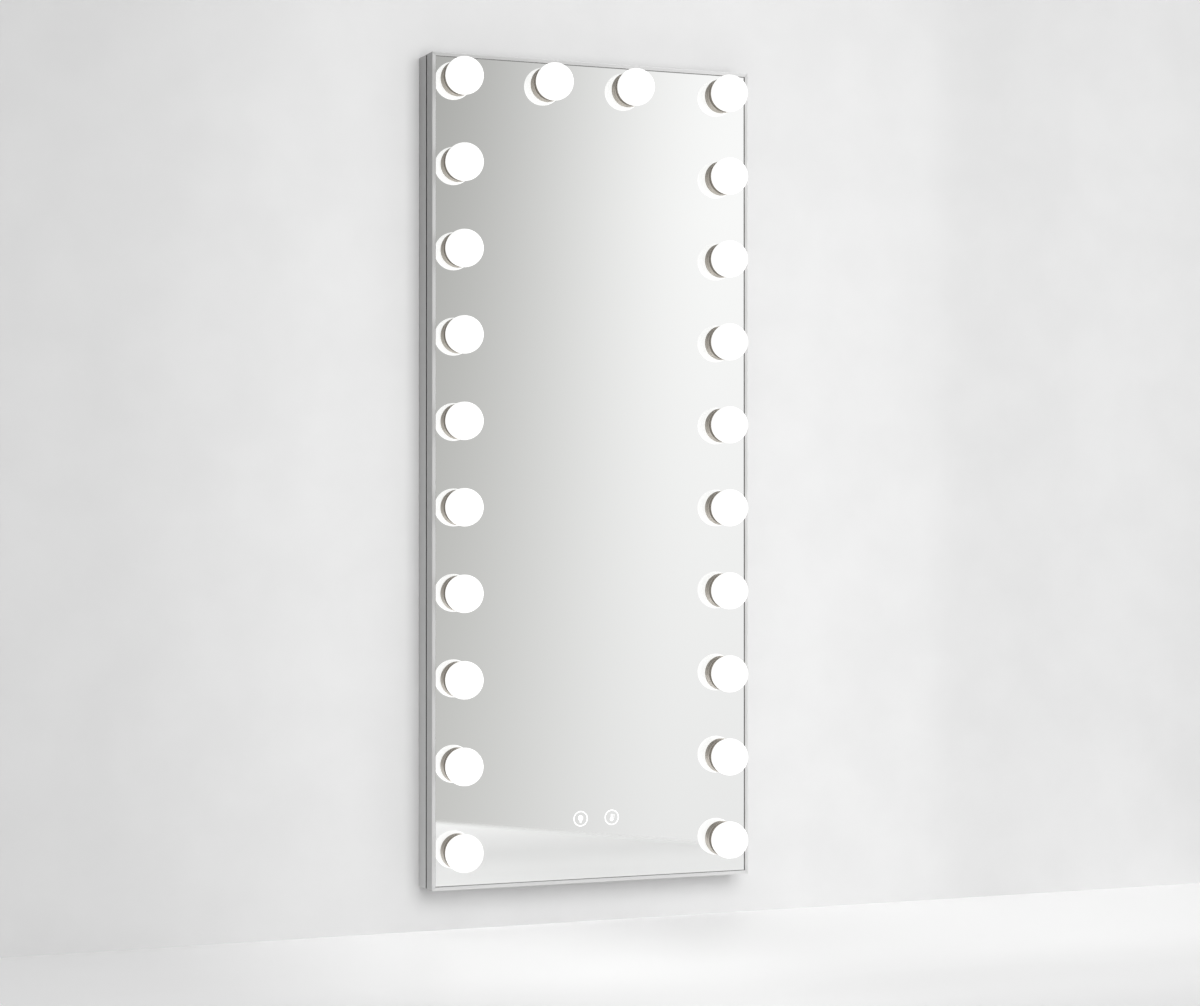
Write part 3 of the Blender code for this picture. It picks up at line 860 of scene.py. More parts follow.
def makePanel(shape):
    low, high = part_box("back_panel")
    width, height, corner = shape["window"]
    loops = [[(low.x, low.z), (high.x, low.z), (high.x, high.z), (low.x, high.z)]]
    loops += [roundedRectangle(middleOf(n), width, height, corner) for n in ("hanger_left", "hanger_right")]
    loops.append(circlePoints(middleOf("cable_grommet"), shape["grommetHole"], 40))
    loops += [circlePoints(place, shape["screwHole"], 20) for place in screwPlaces]
    loops += [circlePoints(place, shape["rivetHole"], 16) for place in rivetPlaces]
    panel = plateMesh(loops, low.y, high.y, finishes["powderCoat"], 0.00015)
    addPiece("rear_sheet", panel, "mirror", ["back_panel"])


makePanel(panelShape)


# Keyhole hangers

hangerShape = {"corner": 0.0045, "head": 0.0080, "slot": 0.0035, "rise": 0.0200}


def keyholeLoop(x, z, shape):
    low = z - shape["rise"] / 2
    meeting = math.degrees(math.asin(shape["slot"] / shape["head"]))
    head = arcPoints((x, low), shape["head"], 90 + meeting, 450 - meeting, 32)
    return head + arcPoints((x, low + shape["rise"]), shape["slot"], 0, 180, 12)


def makeHangers(shape):
    for node in ("hanger_left", "hanger_right"):
        low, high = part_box(node)
        centre = middleOf(node)
        outline = roundedRectangle(centre, high.x - low.x, high.z - low.z, shape["corner"])
        mesh = plateMesh([outline, keyholeLoop(*centre, shape)], low.y, high.y, finishes["zinc"], 0.0003)
        addPiece(f"keyhole_plate_{node.removeprefix('hanger_')}", mesh, "mirror", [node])


makeHangers(hangerShape)


# Cable grommet

grommetShape = {
    "segments": 48,
    "bore": 0.0050,
    "neck": 0.0105,
    "flange": 0.0140,
    "sleeve": 0.0080,
}


def makeGrommet(shape):
    low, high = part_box("cable_grommet")
    foot, end = -high.y, -low.y
    panel, flangeEnd = -panelFront + 0.0003, 0.0050
    bore, neck, flange, sleeve = (shape[key] for key in ("bore", "neck", "flange", "sleeve"))
    soft = 0.0004
    outline = [(bore + soft, foot), (neck - soft, foot), (neck, foot + soft), (neck, panel)]
    outline += [(flange - soft, panel), (flange, panel + soft), (flange, flangeEnd - soft)]
    outline += [(flange - soft, flangeEnd), (sleeve + soft, flangeEnd)]
    for i in range(4):  # soft rings that let the sleeve bend with the cable
        start = flangeEnd + soft + i * (end - flangeEnd) / 4
        outline += [(sleeve, start), (sleeve - i * 0.0004, start + 0.0016)]
        outline += [(sleeve - 0.0012, start + 0.0019), (sleeve - 0.0012, start + 0.0024)]
    outline += [(bore + 2 * soft, end), (bore, end - soft), (bore, foot + soft)]
    x, z = middleOf("cable_grommet")
    rings = [(radius, height, None, 0) for radius, height in outline]
    mesh = turnedMesh(rings, (x, 0.0, z), shape["segments"], [finishes["rubber"]])
    addPiece("grommet_moulding", mesh, "mirror", ["cable_grommet"])


makeGrommet(grommetShape)
print("back made")


# Wiring loom: its route's corners are those of the frame's own loom

loomShape = {
    "radius": 0.0030,
    "offset": 0.0260,
    "standOff": 0.0005,
    "bend": 0.040,
    "bendSteps": 14,
    "step": 0.020,
    "dropX": 0.160,
    "sides": 16,
}


driverShape = {
    "corner": 0.0020,
    "lid": 0.60,  # share of the depth that the lid takes
    "seam": 0.0008,
    "ribs": 14,
    "ribWidth": 0.0022,
    "earLength": 0.016,
    "earThickness": 0.0019,
    "slot": (0.0042, 0.0100),
}


def loomRoute(shape):
    sideX, upper = columnX - shape["offset"], topRowZ - shape["offset"]
    plateY = glassBack + shape["standOff"] + shape["radius"]
    low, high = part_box("led_driver")
    driverY = (low.y + high.y - 0.0001) / 2
    driverX, driverZ = high.x - driverShape["earLength"] + 0.0003, (low.z + high.z) / 2
    corners = [
        Vector((-sideX, plateY, lowestZ)),
        Vector((-sideX, plateY, upper)),
        Vector((sideX, plateY, upper)),
        Vector((sideX, plateY, lowestZ)),
        Vector((shape["dropX"], plateY, lowestZ)),
        Vector((shape["dropX"], driverY, driverZ)),
        Vector((driverX, driverY, driverZ)),
    ]
    route = [corners[0]]

    def runTo(target):
        start = route[-1]
        pieces = max(1, round((target - start).length / shape["step"]))
        route.extend(start.lerp(target, i / pieces) for i in range(1, pieces + 1))

    for before, corner, after in zip(corners, corners[1:], corners[2:]):
        entry = corner + (before - corner).normalized() * shape["bend"]
        leave = corner + (after - corner).normalized() * shape["bend"]
        runTo(entry)
        for i in range(1, shape["bendSteps"] + 1):
            t = i / shape["bendSteps"]
            route.append((1 - t) ** 2 * entry + 2 * t * (1 - t) * corner + t * t * leave)
    runTo(corners[-1])
    return route


def tubeMesh(route, radius, sides, material):
    points, faces, corners = [], [], []
    side = Vector((0.0, 1.0, 0.0))
    along = 0.0
    lengths = []
    for i, place in enumerate(route):
        ahead = (route[min(i + 1, len(route) - 1)] - route[max(i - 1, 0)]).normalized()
        side = (side - side.dot(ahead) * ahead).normalized()
        other = ahead.cross(side)
        along += (place - route[i - 1]).length if i else 0.0
        lengths.append(along)
        for k in range(sides):
            angle = math.tau * k / sides
            points.append(place + radius * (math.cos(angle) * side + math.sin(angle) * other))
    for i in range(len(route) - 1):
        for k in range(sides):
            m = (k + 1) % sides
            faces.append((i * sides + k, i * sides + m, (i + 1) * sides + m, (i + 1) * sides + k))
            left, right = k / sides, (k + 1) / sides
            near, far = lengths[i], lengths[i + 1]
            corners += [(left, near), (right, near), (right, far), (left, far)]
    last = (len(route) - 1) * sides
    faces.append(tuple(range(sides))[::-1])
    faces.append(tuple(range(last, last + sides)))
    corners += [(0.5, lengths[0])] * sides + [(0.5, lengths[-1])] * sides
    mesh = bpy.data.meshes.new("tube")
    mesh.from_pydata(points, [], faces)
    uv = mesh.uv_layers.new(name="UVMap")
    uv.data.foreach_set("uv", [value for corner in corners for value in corner])
    mesh.materials.append(material)
    if signedVolume(mesh) < 0:
        mesh.flip_normals()
    return mesh


loom = tubeMesh(loomRoute(loomShape), loomShape["radius"], loomShape["sides"], finishes["sleeve"])
addPiece("braided_loom", loom, "mirror", ["wiring_loom"])


# LED driver: a lidded moulding with ribs, on slotted ears

def makeDriver(shape):
    low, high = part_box("led_driver")
    left, right = low.x + shape["earLength"], high.x - shape["earLength"]
    back = high.y - 0.0001
    corner, seam, rib = shape["corner"], shape["seam"], 0.0006
    split = back + (low.y - back) * (1 - shape["lid"])
    plastic = bmesh.new()
    addBox(plastic, (left, split, low.z), (right, back, high.z), corner, 3)
    addBox(plastic, (left, low.y + rib, low.z), (right, split - seam, high.z), corner, 3)
    inset = (left + seam, split - 2 * seam, low.z + seam)
    addBox(plastic, inset, (right - seam, split + seam, high.z - seam), 0)
    for x in spread(left + 0.035, right - 0.035, shape["ribs"]):
        half = shape["ribWidth"] / 2
        foot = (x - half, low.y, low.z + 0.006)
        addBox(plastic, foot, (x + half, low.y + 2 * rib, high.z - 0.006), 0.0003)
    for end, inward in ((left, 1), (right, -1)):
        near, far = sorted((end + inward * 0.004, end + inward * 0.022))
        addBox(plastic, (near, low.y, low.z + 0.004), (far, low.y + 2 * rib, high.z - 0.004), 0.0004)
    case = meshFrom(plastic, [finishes["housing"]])
    addPiece("driver_case", case, "mirror", ["led_driver"], flatAxes=(0, 1, 2))
    z = (low.z + high.z) / 2
    for name, edge, sign in (("left", left, -1), ("right", right, 1)):
        centre = (edge + sign * shape["earLength"] / 2 - sign * 0.0005, z)
        outline = roundedRectangle(centre, shape["earLength"] - 0.001, 0.032, 0.004)
        slot = roundedRectangle(centre, *shape["slot"], shape["slot"][0] / 2 - 0.0001)
        ear = plateMesh([outline, slot], back - shape["earThickness"], back, finishes["housing"], 0.0002)
        addPiece(f"driver_ear_{name}", ear, "mirror")
    reach = shape["earLength"] / 2
    return [(left - reach, z), (right + reach, z)], back - shape["earThickness"]


driverScrews, earFront = makeDriver(driverShape)


# Touch board components, on the side away from the plate

boardShape = {
    "chips": ((0.0, 0.0, 0.010, 0.010, 0.0016), (0.018, 0.004, 0.006, 0.008, 0.0012)),
    "terminal": 0.012,
}


def makeBoardParts(shape):
    low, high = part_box("touch_sensor_board")
    x, z = (low.x + high.x) / 2, (low.z + high.z) / 2
    face = high.y + 0.00002
    bm = bmesh.new()
    for offX, offZ, width, height, depth in shape["chips"]:
        corner = (x + offX - width / 2, face + 0.0003, z + offZ - height / 2)
        addBox(bm, corner, (corner[0] + width, face + 0.0003 + depth, corner[2] + height), 0.0002)
        for side in (-1, 1):
            for legX in spread(corner[0] + 0.001, corner[0] + width - 0.001, 6):
                legZ = z + offZ + side * (height / 2 + 0.0007)
                foot = (legX - 0.0002, face, legZ - 0.0009)
                addBox(bm, foot, (legX + 0.0002, face + 0.0009, legZ + 0.0009), 0, 1, 1)
    for i in range(8):
        partX = x - 0.040 + 0.0045 * i
        partZ = z + (0.009 if i % 2 else -0.009)
        addBox(bm, (partX, face, partZ), (partX + 0.002, face + 0.0009, partZ + 0.0012), 0.0001, 1, 2)
    half = shape["terminal"] / 2
    addBox(bm, (x + 0.036, face, z - half), (x + 0.046, face + 0.0090, z + half), 0.0004, 2, 2)
    for middle in (z - 0.003, z + 0.003):
        foot = (x + 0.0455, face + 0.002, middle - 0.0014)
        addBox(bm, foot, (x + 0.0463, face + 0.006, middle + 0.0014), 0, 1, 1)
    metals = [finishes["component"], finishes["fixing"], finishes["nylon"]]
    addPiece("board_components", meshFrom(bm, metals), "mirror", flatAxes=(0, 1, 2))


makeBoardParts(boardShape)
print("loom, driver and board made")


# Small repeated hardware by geometry nodes. Each point carries the way that its copy faces.

def moved(tree, shape, place, rotation=(0.0, 0.0, 0.0)):
    return nodeOut(tree, "GeometryNodeTransform", {0: shape, "Translation": place, "Rotation": rotation})


def cylinder(tree, sides, radius, depth, z):
    # z is the height of its lower end.
    made = nodeOut(tree, "GeometryNodeMeshCylinder", {"Vertices": sides, "Radius": radius, "Depth": depth})
    return moved(tree, made, vectorOf(tree, Z=math2(tree, "ADD", z, math2(tree, "MULTIPLY", depth, 0.5))))


def block(tree, width, length, depth, z=0.0):
    size = vectorOf(tree, X=width, Y=length, Z=depth)
    return moved(tree, nodeOut(tree, "GeometryNodeMeshCube", {"Size": size}), (0.0, 0.0, z))


def joinAll(tree, shapes):
    join = addNode(tree, "GeometryNodeJoinGeometry")
    for shape in reversed(shapes):
        fill(tree, join, {0: shape})
    return join.outputs[0]


def cut(tree, solid, cutter):
    # Its first input is the solid and its second holds the cutters.
    settings = {"operation": "DIFFERENCE", "solver": "EXACT"}
    return nodeOut(tree, "GeometryNodeMeshBoolean", {0: solid, 1: cutter}, **settings)


def painted(tree, shape, material):
    return nodeOut(tree, "GeometryNodeSetMaterial", {0: shape, "Material": material})


def placeCopies(tree, given, result, shape, spin=0.0):
    # Stands a copy on each point along its own facing, turned by its toward vector or at random.
    facing, toward = (
        nodeOut(tree, "GeometryNodeInputNamedAttribute", {"Name": label}, data_type="FLOAT_VECTOR")
        for label in ("facing", "toward")
    )
    align = "FunctionNodeAlignRotationToVector"
    upright = nodeOut(tree, align, {"Vector": facing}, axis="Z")
    turned = nodeOut(tree, align, {"Rotation": upright, "Vector": toward}, axis="X", pivot_axis="Z")
    chance = addNode(tree, "FunctionNodeRandomValue", {2: 0.0, 3: spin, "Seed": 7}, data_type="FLOAT")
    twist = nodeOut(tree, "FunctionNodeEulerToRotation", {0: vectorOf(tree, Z=chance.outputs[1])})
    final = nodeOut(tree, "FunctionNodeRotateRotation", {0: turned, 1: twist}, rotation_space="LOCAL")
    inputs = {"Points": given["Geometry"], "Instance": shape, "Rotation": final}
    copies = nodeOut(tree, "GeometryNodeInstanceOnPoints", inputs)
    fill(tree, result, {0: nodeOut(tree, "GeometryNodeRealizeInstances", {0: copies})})


def hardwareTree(name, sizes, materials=("Material",)):
    inputs = [("Geometry", "NodeSocketGeometry", None)]
    inputs += [(label, "NodeSocketFloat", value) for label, value in sizes.items()]
    inputs += [(label, "NodeSocketMaterial", None) for label in materials]
    return newTree(name, "GeometryNodeTree", inputs, [("Geometry", "NodeSocketGeometry")])


def makeScrewTree():
    # A flush head with a cross recess, and its shank. The head's face is at the point.
    sizes = {"Head Radius": 0.0033, "Head Height": 0.0012, "Shank Radius": 0.0016, "Shank Length": 0.008}
    sizes |= {"Recess": 0.0009, "Recess Depth": 0.0008}
    tree, given, result = hardwareTree("flushScrew", sizes)
    headLow = math2(tree, "MULTIPLY", given["Head Height"], -1.0)
    head = cylinder(tree, 28, given["Head Radius"], given["Head Height"], headLow)
    length = math2(tree, "MULTIPLY", given["Head Radius"], 1.25)
    depth = math2(tree, "MULTIPLY", given["Recess Depth"], 2.0)
    head = cut(tree, head, block(tree, length, given["Recess"], depth))
    head = cut(tree, head, block(tree, given["Recess"], length, depth))
    shankLow = math2(tree, "SUBTRACT", headLow, given["Shank Length"])
    shankLow = math2(tree, "ADD", shankLow, 0.0001)
    shank = cylinder(tree, 16, given["Shank Radius"], given["Shank Length"], shankLow)
    screw = painted(tree, joinAll(tree, [head, shank]), given["Material"])
    placeCopies(tree, given, result, screw, math.tau)
    return tree


def makeNutTree():
    # A washer against the plate with a hexagon nut on it.
    sizes = {"Bore": 0.0102, "Washer Radius": 0.0165, "Washer": 0.0012, "Nut Radius": 0.0155, "Nut": 0.0055}
    tree, given, result = hardwareTree("stemNut", sizes)
    washer = cylinder(tree, 48, given["Washer Radius"], given["Washer"], 0.0)
    nut = cylinder(tree, 6, given["Nut Radius"], given["Nut"], math2(tree, "ADD", given["Washer"], 0.00005))
    bore = cylinder(tree, 32, given["Bore"], 0.02, -0.005)
    parts = joinAll(tree, [cut(tree, washer, bore), cut(tree, nut, bore)])
    placeCopies(tree, given, result, painted(tree, parts, given["Material"]))
    return tree


def makeLightTree():
    # A round board with a ring of chips and three in the middle.
    sizes = {"Radius": 0.0195, "Thickness": 0.0014, "Ring": 0.0130, "Chips": 12.0, "Chip": 0.0030}
    tree, given, result = hardwareTree("lightBoard", sizes, ("Board", "Chip Material"))
    board = cylinder(tree, 48, given["Radius"], given["Thickness"], 0.0)
    outer = {"Vertices": given["Chips"], "Radius": given["Ring"]}
    inner = {"Vertices": 3, "Radius": 0.0030}
    points = joinAll(tree, [nodeOut(tree, "GeometryNodeMeshCircle", ring) for ring in (outer, inner)])
    raised = moved(tree, points, vectorOf(tree, Z=math2(tree, "ADD", given["Thickness"], 0.0003)))
    chip = block(tree, given["Chip"], given["Chip"], 0.0008)
    chips = nodeOut(tree, "GeometryNodeInstanceOnPoints", {"Points": raised, "Instance": chip})
    solid = nodeOut(tree, "GeometryNodeRealizeInstances", {0: chips})
    both = [painted(tree, board, given["Board"]), painted(tree, solid, given["Chip Material"])]
    placeCopies(tree, given, result, joinAll(tree, both))
    return tree


def makeLeadTree():
    # A wire out of the stem that bends over and runs to the loom. Local X is towards the loom.
    sizes = {"Radius": 0.0008, "Offset": 0.0013, "Reach": 0.0245}
    sizes |= {"Rise": 0.0035, "Fall": -0.0165, "Start": -0.004}
    tree, given, result = hardwareTree("lampLead", sizes)
    across = given["Offset"]
    over = math2(tree, "MULTIPLY", given["Rise"], 4.0)
    third = math2(tree, "MULTIPLY", given["Reach"], 0.55)
    path = {
        "Resolution": 20,
        "Start": vectorOf(tree, Y=across, Z=given["Start"]),
        "Start Handle": vectorOf(tree, Y=across, Z=over),
        "End Handle": vectorOf(tree, X=third, Y=across, Z=given["Rise"]),
        "End": vectorOf(tree, X=given["Reach"], Y=across, Z=given["Fall"]),
    }
    path = nodeOut(tree, "GeometryNodeCurvePrimitiveBezierSegment", path, mode="POSITION")
    ring = nodeOut(tree, "GeometryNodeCurvePrimitiveCircle", {"Resolution": 10, "Radius": given["Radius"]})
    inputs = {"Curve": path, "Profile Curve": ring, "Fill Caps": True}
    wire = nodeOut(tree, "GeometryNodeCurveToMesh", inputs)
    placeCopies(tree, given, result, painted(tree, wire, given["Material"]))
    return tree


def makeClipTree():
    # A stuck-down foot with a strap over the loom. Local X is across the loom.
    sizes = {"Loom Radius": 0.0030, "Lift": 0.0035, "Foot": 0.0180, "Width": 0.0060, "Strap": 0.0009}
    tree, given, result = hardwareTree("loomClip", sizes)
    foot = block(tree, given["Foot"], given["Width"], 0.0008, 0.0005)
    outer = math2(tree, "ADD", given["Loom Radius"], given["Strap"])
    strap = cylinder(tree, 40, outer, given["Width"], math2(tree, "MULTIPLY", given["Width"], -0.5))
    hollow = cylinder(tree, 40, math2(tree, "ADD", given["Loom Radius"], 0.0001), 0.02, -0.01)
    arch = cut(tree, strap, hollow)
    arch = moved(tree, arch, vectorOf(tree, Z=given["Lift"]), (math.pi / 2, 0.0, 0.0))
    arch = cut(tree, arch, block(tree, 0.03, 0.03, 0.0006, -0.0002))
    placeCopies(tree, given, result, painted(tree, joinAll(tree, [foot, arch]), given["Material"]))
    return tree


def scatter(name, tree, places, facing, towards, values, bevel=0.0):
    # Grows one plain mesh from the tree on these points and adds it as a piece.
    cloud = bpy.data.meshes.new("points")
    cloud.from_pydata(places, [], [])
    for label, vectors in (("facing", [facing] * len(places)), ("toward", towards)):
        attribute = cloud.attributes.new(label, "FLOAT_VECTOR", "POINT")
        attribute.data.foreach_set("vector", [value for vector in vectors for value in vector])
    seed = bpy.data.objects.new("seed", cloud)
    scene.collection.objects.link(seed)
    modifier = seed.modifiers.new("grow", "NODES")
    modifier.node_group = tree
    for item in tree.interface.items_tree:
        if item.in_out == "INPUT" and item.name in values:
            modifier[item.identifier] = values[item.name]
    if bevel:
        edges = seed.modifiers.new("soften", "BEVEL")
        edges.width = bevel
        edges.segments = 2
        edges.limit_method = "ANGLE"
        edges.angle_limit = math.radians(40)
    bpy.context.view_layer.update()
    mesh = bpy.data.meshes.new_from_object(seed.evaluated_get(bpy.context.evaluated_depsgraph_get()))
    bpy.data.objects.remove(seed)
    for label in ("facing", "toward"):
        if label in mesh.attributes:
            mesh.attributes.remove(mesh.attributes[label])
    return addPiece(name, mesh, "mirror")


towardPlus, towardMinus, towardDown = (1.0, 0.0, 0.0), (-1.0, 0.0, 0.0), (0.0, 0.0, -1.0)
backwards, forwards = (0.0, 1.0, 0.0), (0.0, -1.0, 0.0)


def loomSide(name):
    # The way from a lamp to the loom.
    return {"left": towardPlus, "right": towardMinus, "top": towardDown}[name.split("_")[0]]


screwTree, nutTree, lightTree = makeScrewTree(), makeNutTree(), makeLightTree()
leadTree, clipTree = makeLeadTree(), makeClipTree()

flush = -0.00015  # just inside the sheet's rear face
fixing = {"Material": finishes["fixing"]}
rivetSizes = {"Head Radius": 0.0026, "Shank Radius": 0.0014, "Shank Length": 0.0045, "Recess": 0.0007}
rivetSizes["Recess Depth"] = 0.0004
panSizes = {"Head Radius": 0.0036, "Head Height": 0.0015, "Shank Radius": 0.0016, "Shank Length": 0.0025}
for name, y, spots, facing, sizes, bevel in (
    ("panel_screws", flush, screwPlaces, backwards, {}, 0.0001),
    ("hanger_rivets", flush, rivetPlaces, backwards, rivetSizes, 0.0001),
    ("driver_screws", earFront - 0.0016, driverScrews, forwards, panSizes, 0.0002),
):
    places = [(x, y, z) for x, z in spots]
    towards = [towardPlus] * len(places)
    scatter(name, screwTree, places, facing, towards, fixing | sizes, bevel)

towards = [loomSide(name) for name in lamps]
places = [(x, glassBack + 0.00005, z) for x, z in lamps.values()]
nickel = {"Material": finishes["nickel"]}
scatter("stem_nuts", nutTree, places, backwards, towards, nickel, 0.0003)
places = [(x, glassFront - lampShape["cupFloor"] - 0.0001, z) for x, z in lamps.values()]
boards = {"Board": finishes["ledBoard"], "Chip Material": finishes["phosphor"]}
scatter("led_boards", lightTree, places, forwards, towards, boards)
stemEnd = glassFront + lampShape["stemLength"]
slant = loomShape["offset"] + loomShape["bend"] / 4
cornerWays = {  # to the loom from the lamps at its bends, whose leads are longer
    "left_01": (slant, 0.0, -slant),
    "right_01": (-slant, 0.0, -slant),
    "right_10": (-loomShape["offset"], 0.0, loomShape["bend"] + 0.004),
}
for group, reach, names in (
    ("lamp", 0.0245, [name for name in lamps if name not in cornerWays]),
    ("corner", 0.0494, list(cornerWays)),
):
    places = [(lamps[name][0], stemEnd, lamps[name][1]) for name in names]
    towards = [cornerWays.get(name) or loomSide(name) for name in names]
    for wire, offset, finish in (("live", 0.0013, "whiteLead"), ("return", -0.0013, "greyLead")):
        values = {"Offset": offset, "Reach": reach, "Material": finishes[finish]}
        scatter(f"{group}_leads_{wire}", leadTree, places, backwards, towards, values)


# Clips half way between neighbouring lamps, on both columns and along the top
sideX, upper = columnX - loomShape["offset"], topRowZ - loomShape["offset"]
places = [(x, glassBack, topRowZ - (i + 0.5) * lampPitch) for x in (-sideX, sideX) for i in range(1, 9)]
across = [towardPlus] * len(places) + [towardDown] * 3
places += [(x, glassBack, upper) for x in (-0.18, 0.0, 0.17)]
nylon = {"Material": finishes["nylon"]}
scatter("loom_clips", clipTree, places, backwards, across, nylon, 0.0002)
print("hardware made")


# Studio: pale wall and floor with painted light on both, soft key light, and a gradient that the mirror
# sees

studio = {
    "keyPlace": (-0.15, -3.6, 0.62),
    "keySize": 2.5,
    "keyPower": 92.0,
    "backPlace": (0.9, 3.2, 1.4),
    "backPower": 42.0,
    "ambient": (0.20, 0.50),  # from straight below and from straight above
    "pale": 0.83,
    # painted light: the wall's tone across X, lighter to the right with a dip near 0.87 m
    "paintedWallLight": ((-1.0, 0.68), (-0.4, 0.775), (0.4, 0.845), (0.76, 0.855), (0.87, 0.82), (1.4, 0.92)),
    "floorZ": -0.8885,
    "floorEdge": (2.37, 1.40, 0.20),  # the mirror sees the floor end on a slant: offset, slope and softness
    # Painted light on the floor, by its distance from the wall.
    "paintedFloorLight": ((-1.75, 0.085), (-1.25, 0.03), (-0.9, 0.16), (-0.5, 0.29)),
    "paintedFloorLightAcross": ((-0.95, 0.25), (-0.15, 1.1), (0.3, 0.75), (0.9, 0.85)),
    "floorColour": 0.80,
}


def pointAt(light, target):
    light.rotation_euler = (Vector(target) - light.location).to_track_quat("-Z", "Y").to_euler()


def areaLight(name, place, size, power, target):
    data = bpy.data.lights.new(name, "AREA")
    data.shape = "DISK"
    data.size = size
    data.energy = power
    light = bpy.data.objects.new(name, data)
    light.location = place
    scene.collection.objects.link(light)
    pointAt(light, target)
    light.visible_camera = False
    light.visible_glossy = False
    return light


def stageMesh(name, points, faces, material):
    mesh = bpy.data.meshes.new(name)
    mesh.from_pydata(points, [], faces)
    mesh.materials.append(material)
    stand = bpy.data.objects.new(name, mesh)
    scene.collection.objects.link(stand)
    return stand


def stepTones(tree, value, tones):
    # A grey that runs smoothly through these (place, tone) pairs.
    colour = None
    for (before, _), (after, tone) in zip(tones, tones[1:]):
        start = colour or grey(tones[0][1])
        colour = mixColour(tree, ramp(tree, value, before, after, 0.0, 1.0, smooth=True), start, grey(tone))
    return colour


def makeWall(values):
    # Seen from behind it is clear to the camera, so that the back of the mirror shows.
    material, tree, shader, coords = startMaterial("wallPaint", {})
    place = axes(tree, coords)
    speckle = addGroup(tree, fineSpeckle, {"Vector": coords, "Size": 0.012})
    blotch = ramp(tree, speckle["Tone"], 0.35, 0.65, 0.985, 1.015)
    # The tone across X is painted light.
    tone = scaled(tree, stepTones(tree, place["X"], values["paintedWallLight"]), blotch)
    coat(tree, shader, tone, 0.85, (speckle["Height"], 0.08, 0.001))
    clear = nodeOut(tree, "ShaderNodeBsdfTransparent")
    behind = addNode(tree, "ShaderNodeNewGeometry").outputs["Backfacing"]
    camera = addNode(tree, "ShaderNodeLightPath").outputs["Is Camera Ray"]
    hidden = math2(tree, "MULTIPLY", behind, camera)
    mixed = nodeOut(tree, "ShaderNodeMixShader", {0: hidden, 1: shader.outputs[0], 2: clear})
    fill(tree, tree.nodes["Material Output"], {"Surface": mixed})
    low, high = cadBox
    trim = 0.006
    inner = [low[0] + trim, high[0] - trim, low[2] + trim, high[2] - trim]
    outer = [-5.0, 5.0, values["floorZ"], 3.5]
    y = 0.0002
    points = []
    for x0, x1, z0, z1 in (outer, inner):
        points += [(x0, y, z0), (x1, y, z0), (x1, y, z1), (x0, y, z1)]
    faces = [(i, (i + 1) % 4, (i + 1) % 4 + 4, i + 4) for i in range(4)]
    stageMesh("wall", points, faces, material)


def makeFloor(values):
    fixed = {"Roughness": 0.45, "Emission Strength": 1.0}
    material, tree, shader, coords = startMaterial("floorPaint", fixed)
    place = axes(tree, coords)
    speckle = addGroup(tree, fineSpeckle, {"Vector": coords, "Size": 0.02})
    tone = values["floorColour"]
    colour = mixColour(tree, speckle["Tone"], grey(tone - 0.012), grey(tone + 0.012))
    # Painted light: an uneven emission on the floor, which diffuse rays don't see.
    glow = stepTones(tree, place["Y"], values["paintedFloorLight"])
    across = stepTones(tree, place["X"], values["paintedFloorLightAcross"])
    glow = multiplied(tree, glow, across)
    rays = addNode(tree, "ShaderNodeLightPath").outputs
    shown = math2(tree, "SUBTRACT", 1.0, rays["Is Diffuse Ray"])  # it doesn't light the wall
    glow = scaled(tree, glow, shown)
    offset, slope, soft = values["floorEdge"]
    edge = math2(tree, "MULTIPLY_ADD", place["X"], -slope, math2(tree, "ADD", place["Y"], offset))
    alpha = ramp(tree, edge, 0.0, soft, 0.0, 1.0, smooth=True)
    alpha = math2(tree, "MAXIMUM", alpha, rays["Is Camera Ray"])
    fill(tree, shader, {"Base Color": colour, "Emission Color": glow, "Alpha": alpha})
    z = values["floorZ"]
    points = [(-5.0, -2.2, z), (5.0, -2.2, z), (5.0, 2.6, z), (-5.0, 2.6, z)]
    stageMesh("floor", points, [(0, 1, 2, 3)], material)


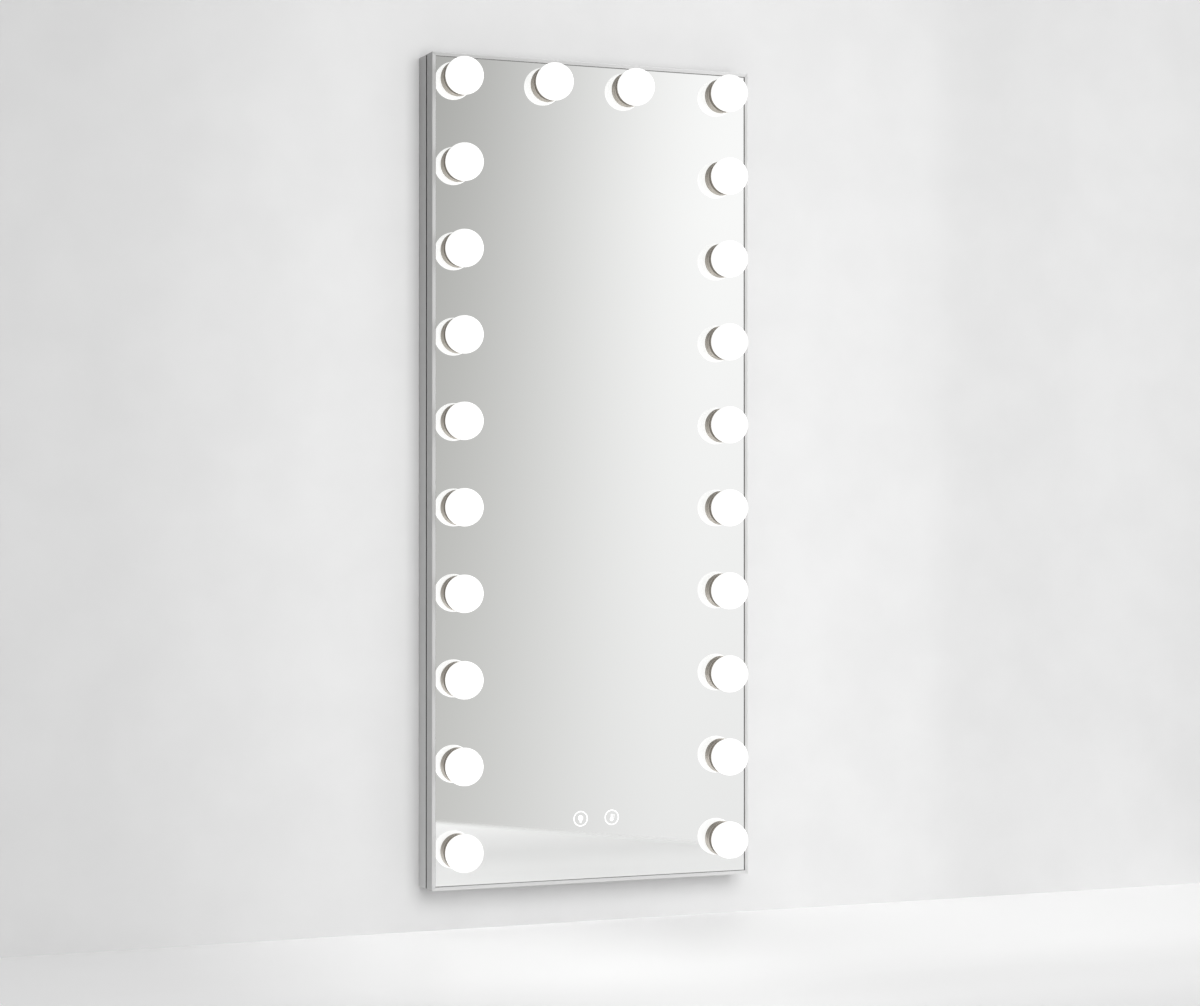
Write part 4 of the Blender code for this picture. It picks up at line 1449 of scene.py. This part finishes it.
worldTones = {
    "turn": (16.8, 24.6),  # degrees right of straight out, over which the gradient runs
    "lean": 4.0,  # how far the gradient turns for each unit of rise
    "dark": (0.492, -0.42),  # at level, and change for each unit of rise
    "light": (0.938, 0.62),
    "limits": (0.28, 1.01),
    "sideLight": (27.0, 42.0, 0.65),  # an extra light beyond the mirror's own view
}


def makeWorld(values, tones):
    world = bpy.data.worlds.new("studio")
    world.use_nodes = True
    world.cycles.sampling_method = "NONE"
    scene.world = world
    tree = world.node_tree
    way = axes(tree, addNode(tree, "ShaderNodeTexCoord").outputs["Generated"])
    turn = math2(tree, "ARCTAN2", way["X"], math2(tree, "MULTIPLY", way["Y"], -1.0))
    turn = math2(tree, "MULTIPLY", turn, math.degrees(1.0))
    turn = math2(tree, "SUBTRACT", turn, math2(tree, "MULTIPLY", way["Z"], tones["lean"]))
    share = ramp(tree, turn, *tones["turn"], 0.0, 1.0, smooth=True)

    def tone(level, change):
        least, most = tones["limits"]
        sloped = math2(tree, "MULTIPLY_ADD", way["Z"], change, level)
        return math2(tree, "MINIMUM", math2(tree, "MAXIMUM", sloped, least), most)

    dark, light = tone(*tones["dark"]), tone(*tones["light"])
    blue = math2(tree, "MULTIPLY", dark, 0.97)
    warm = nodeOut(tree, "ShaderNodeCombineColor", {0: dark, 1: dark, 2: blue})
    mirrored = mixColour(tree, share, warm, light)
    start, end, extra = tones["sideLight"]
    boost = ramp(tree, turn, start, end, 1.0, 1.0 + extra, smooth=True)
    rays = addNode(tree, "ShaderNodeLightPath").outputs
    below, above = values["ambient"]
    ambient = mixColour(tree, ramp(tree, way["Z"], -1.0, 1.0, 0.0, 1.0), grey(below), grey(above))
    colour = mixColour(tree, rays["Is Glossy Ray"], ambient, scaled(tree, mirrored, boost))
    colour = mixColour(tree, rays["Is Camera Ray"], colour, grey(values["pale"]))
    fill(tree, tree.nodes["Background"], {"Color": colour})


makeWorld(studio, worldTones)
makeWall(studio)
makeFloor(studio)
areaLight("key", studio["keyPlace"], studio["keySize"], studio["keyPower"], (0.0, 0.0, 0.0))
areaLight("rear", studio["backPlace"], 1.6, studio["backPower"], (0.0, 0.0, 0.0))
print("studio made")
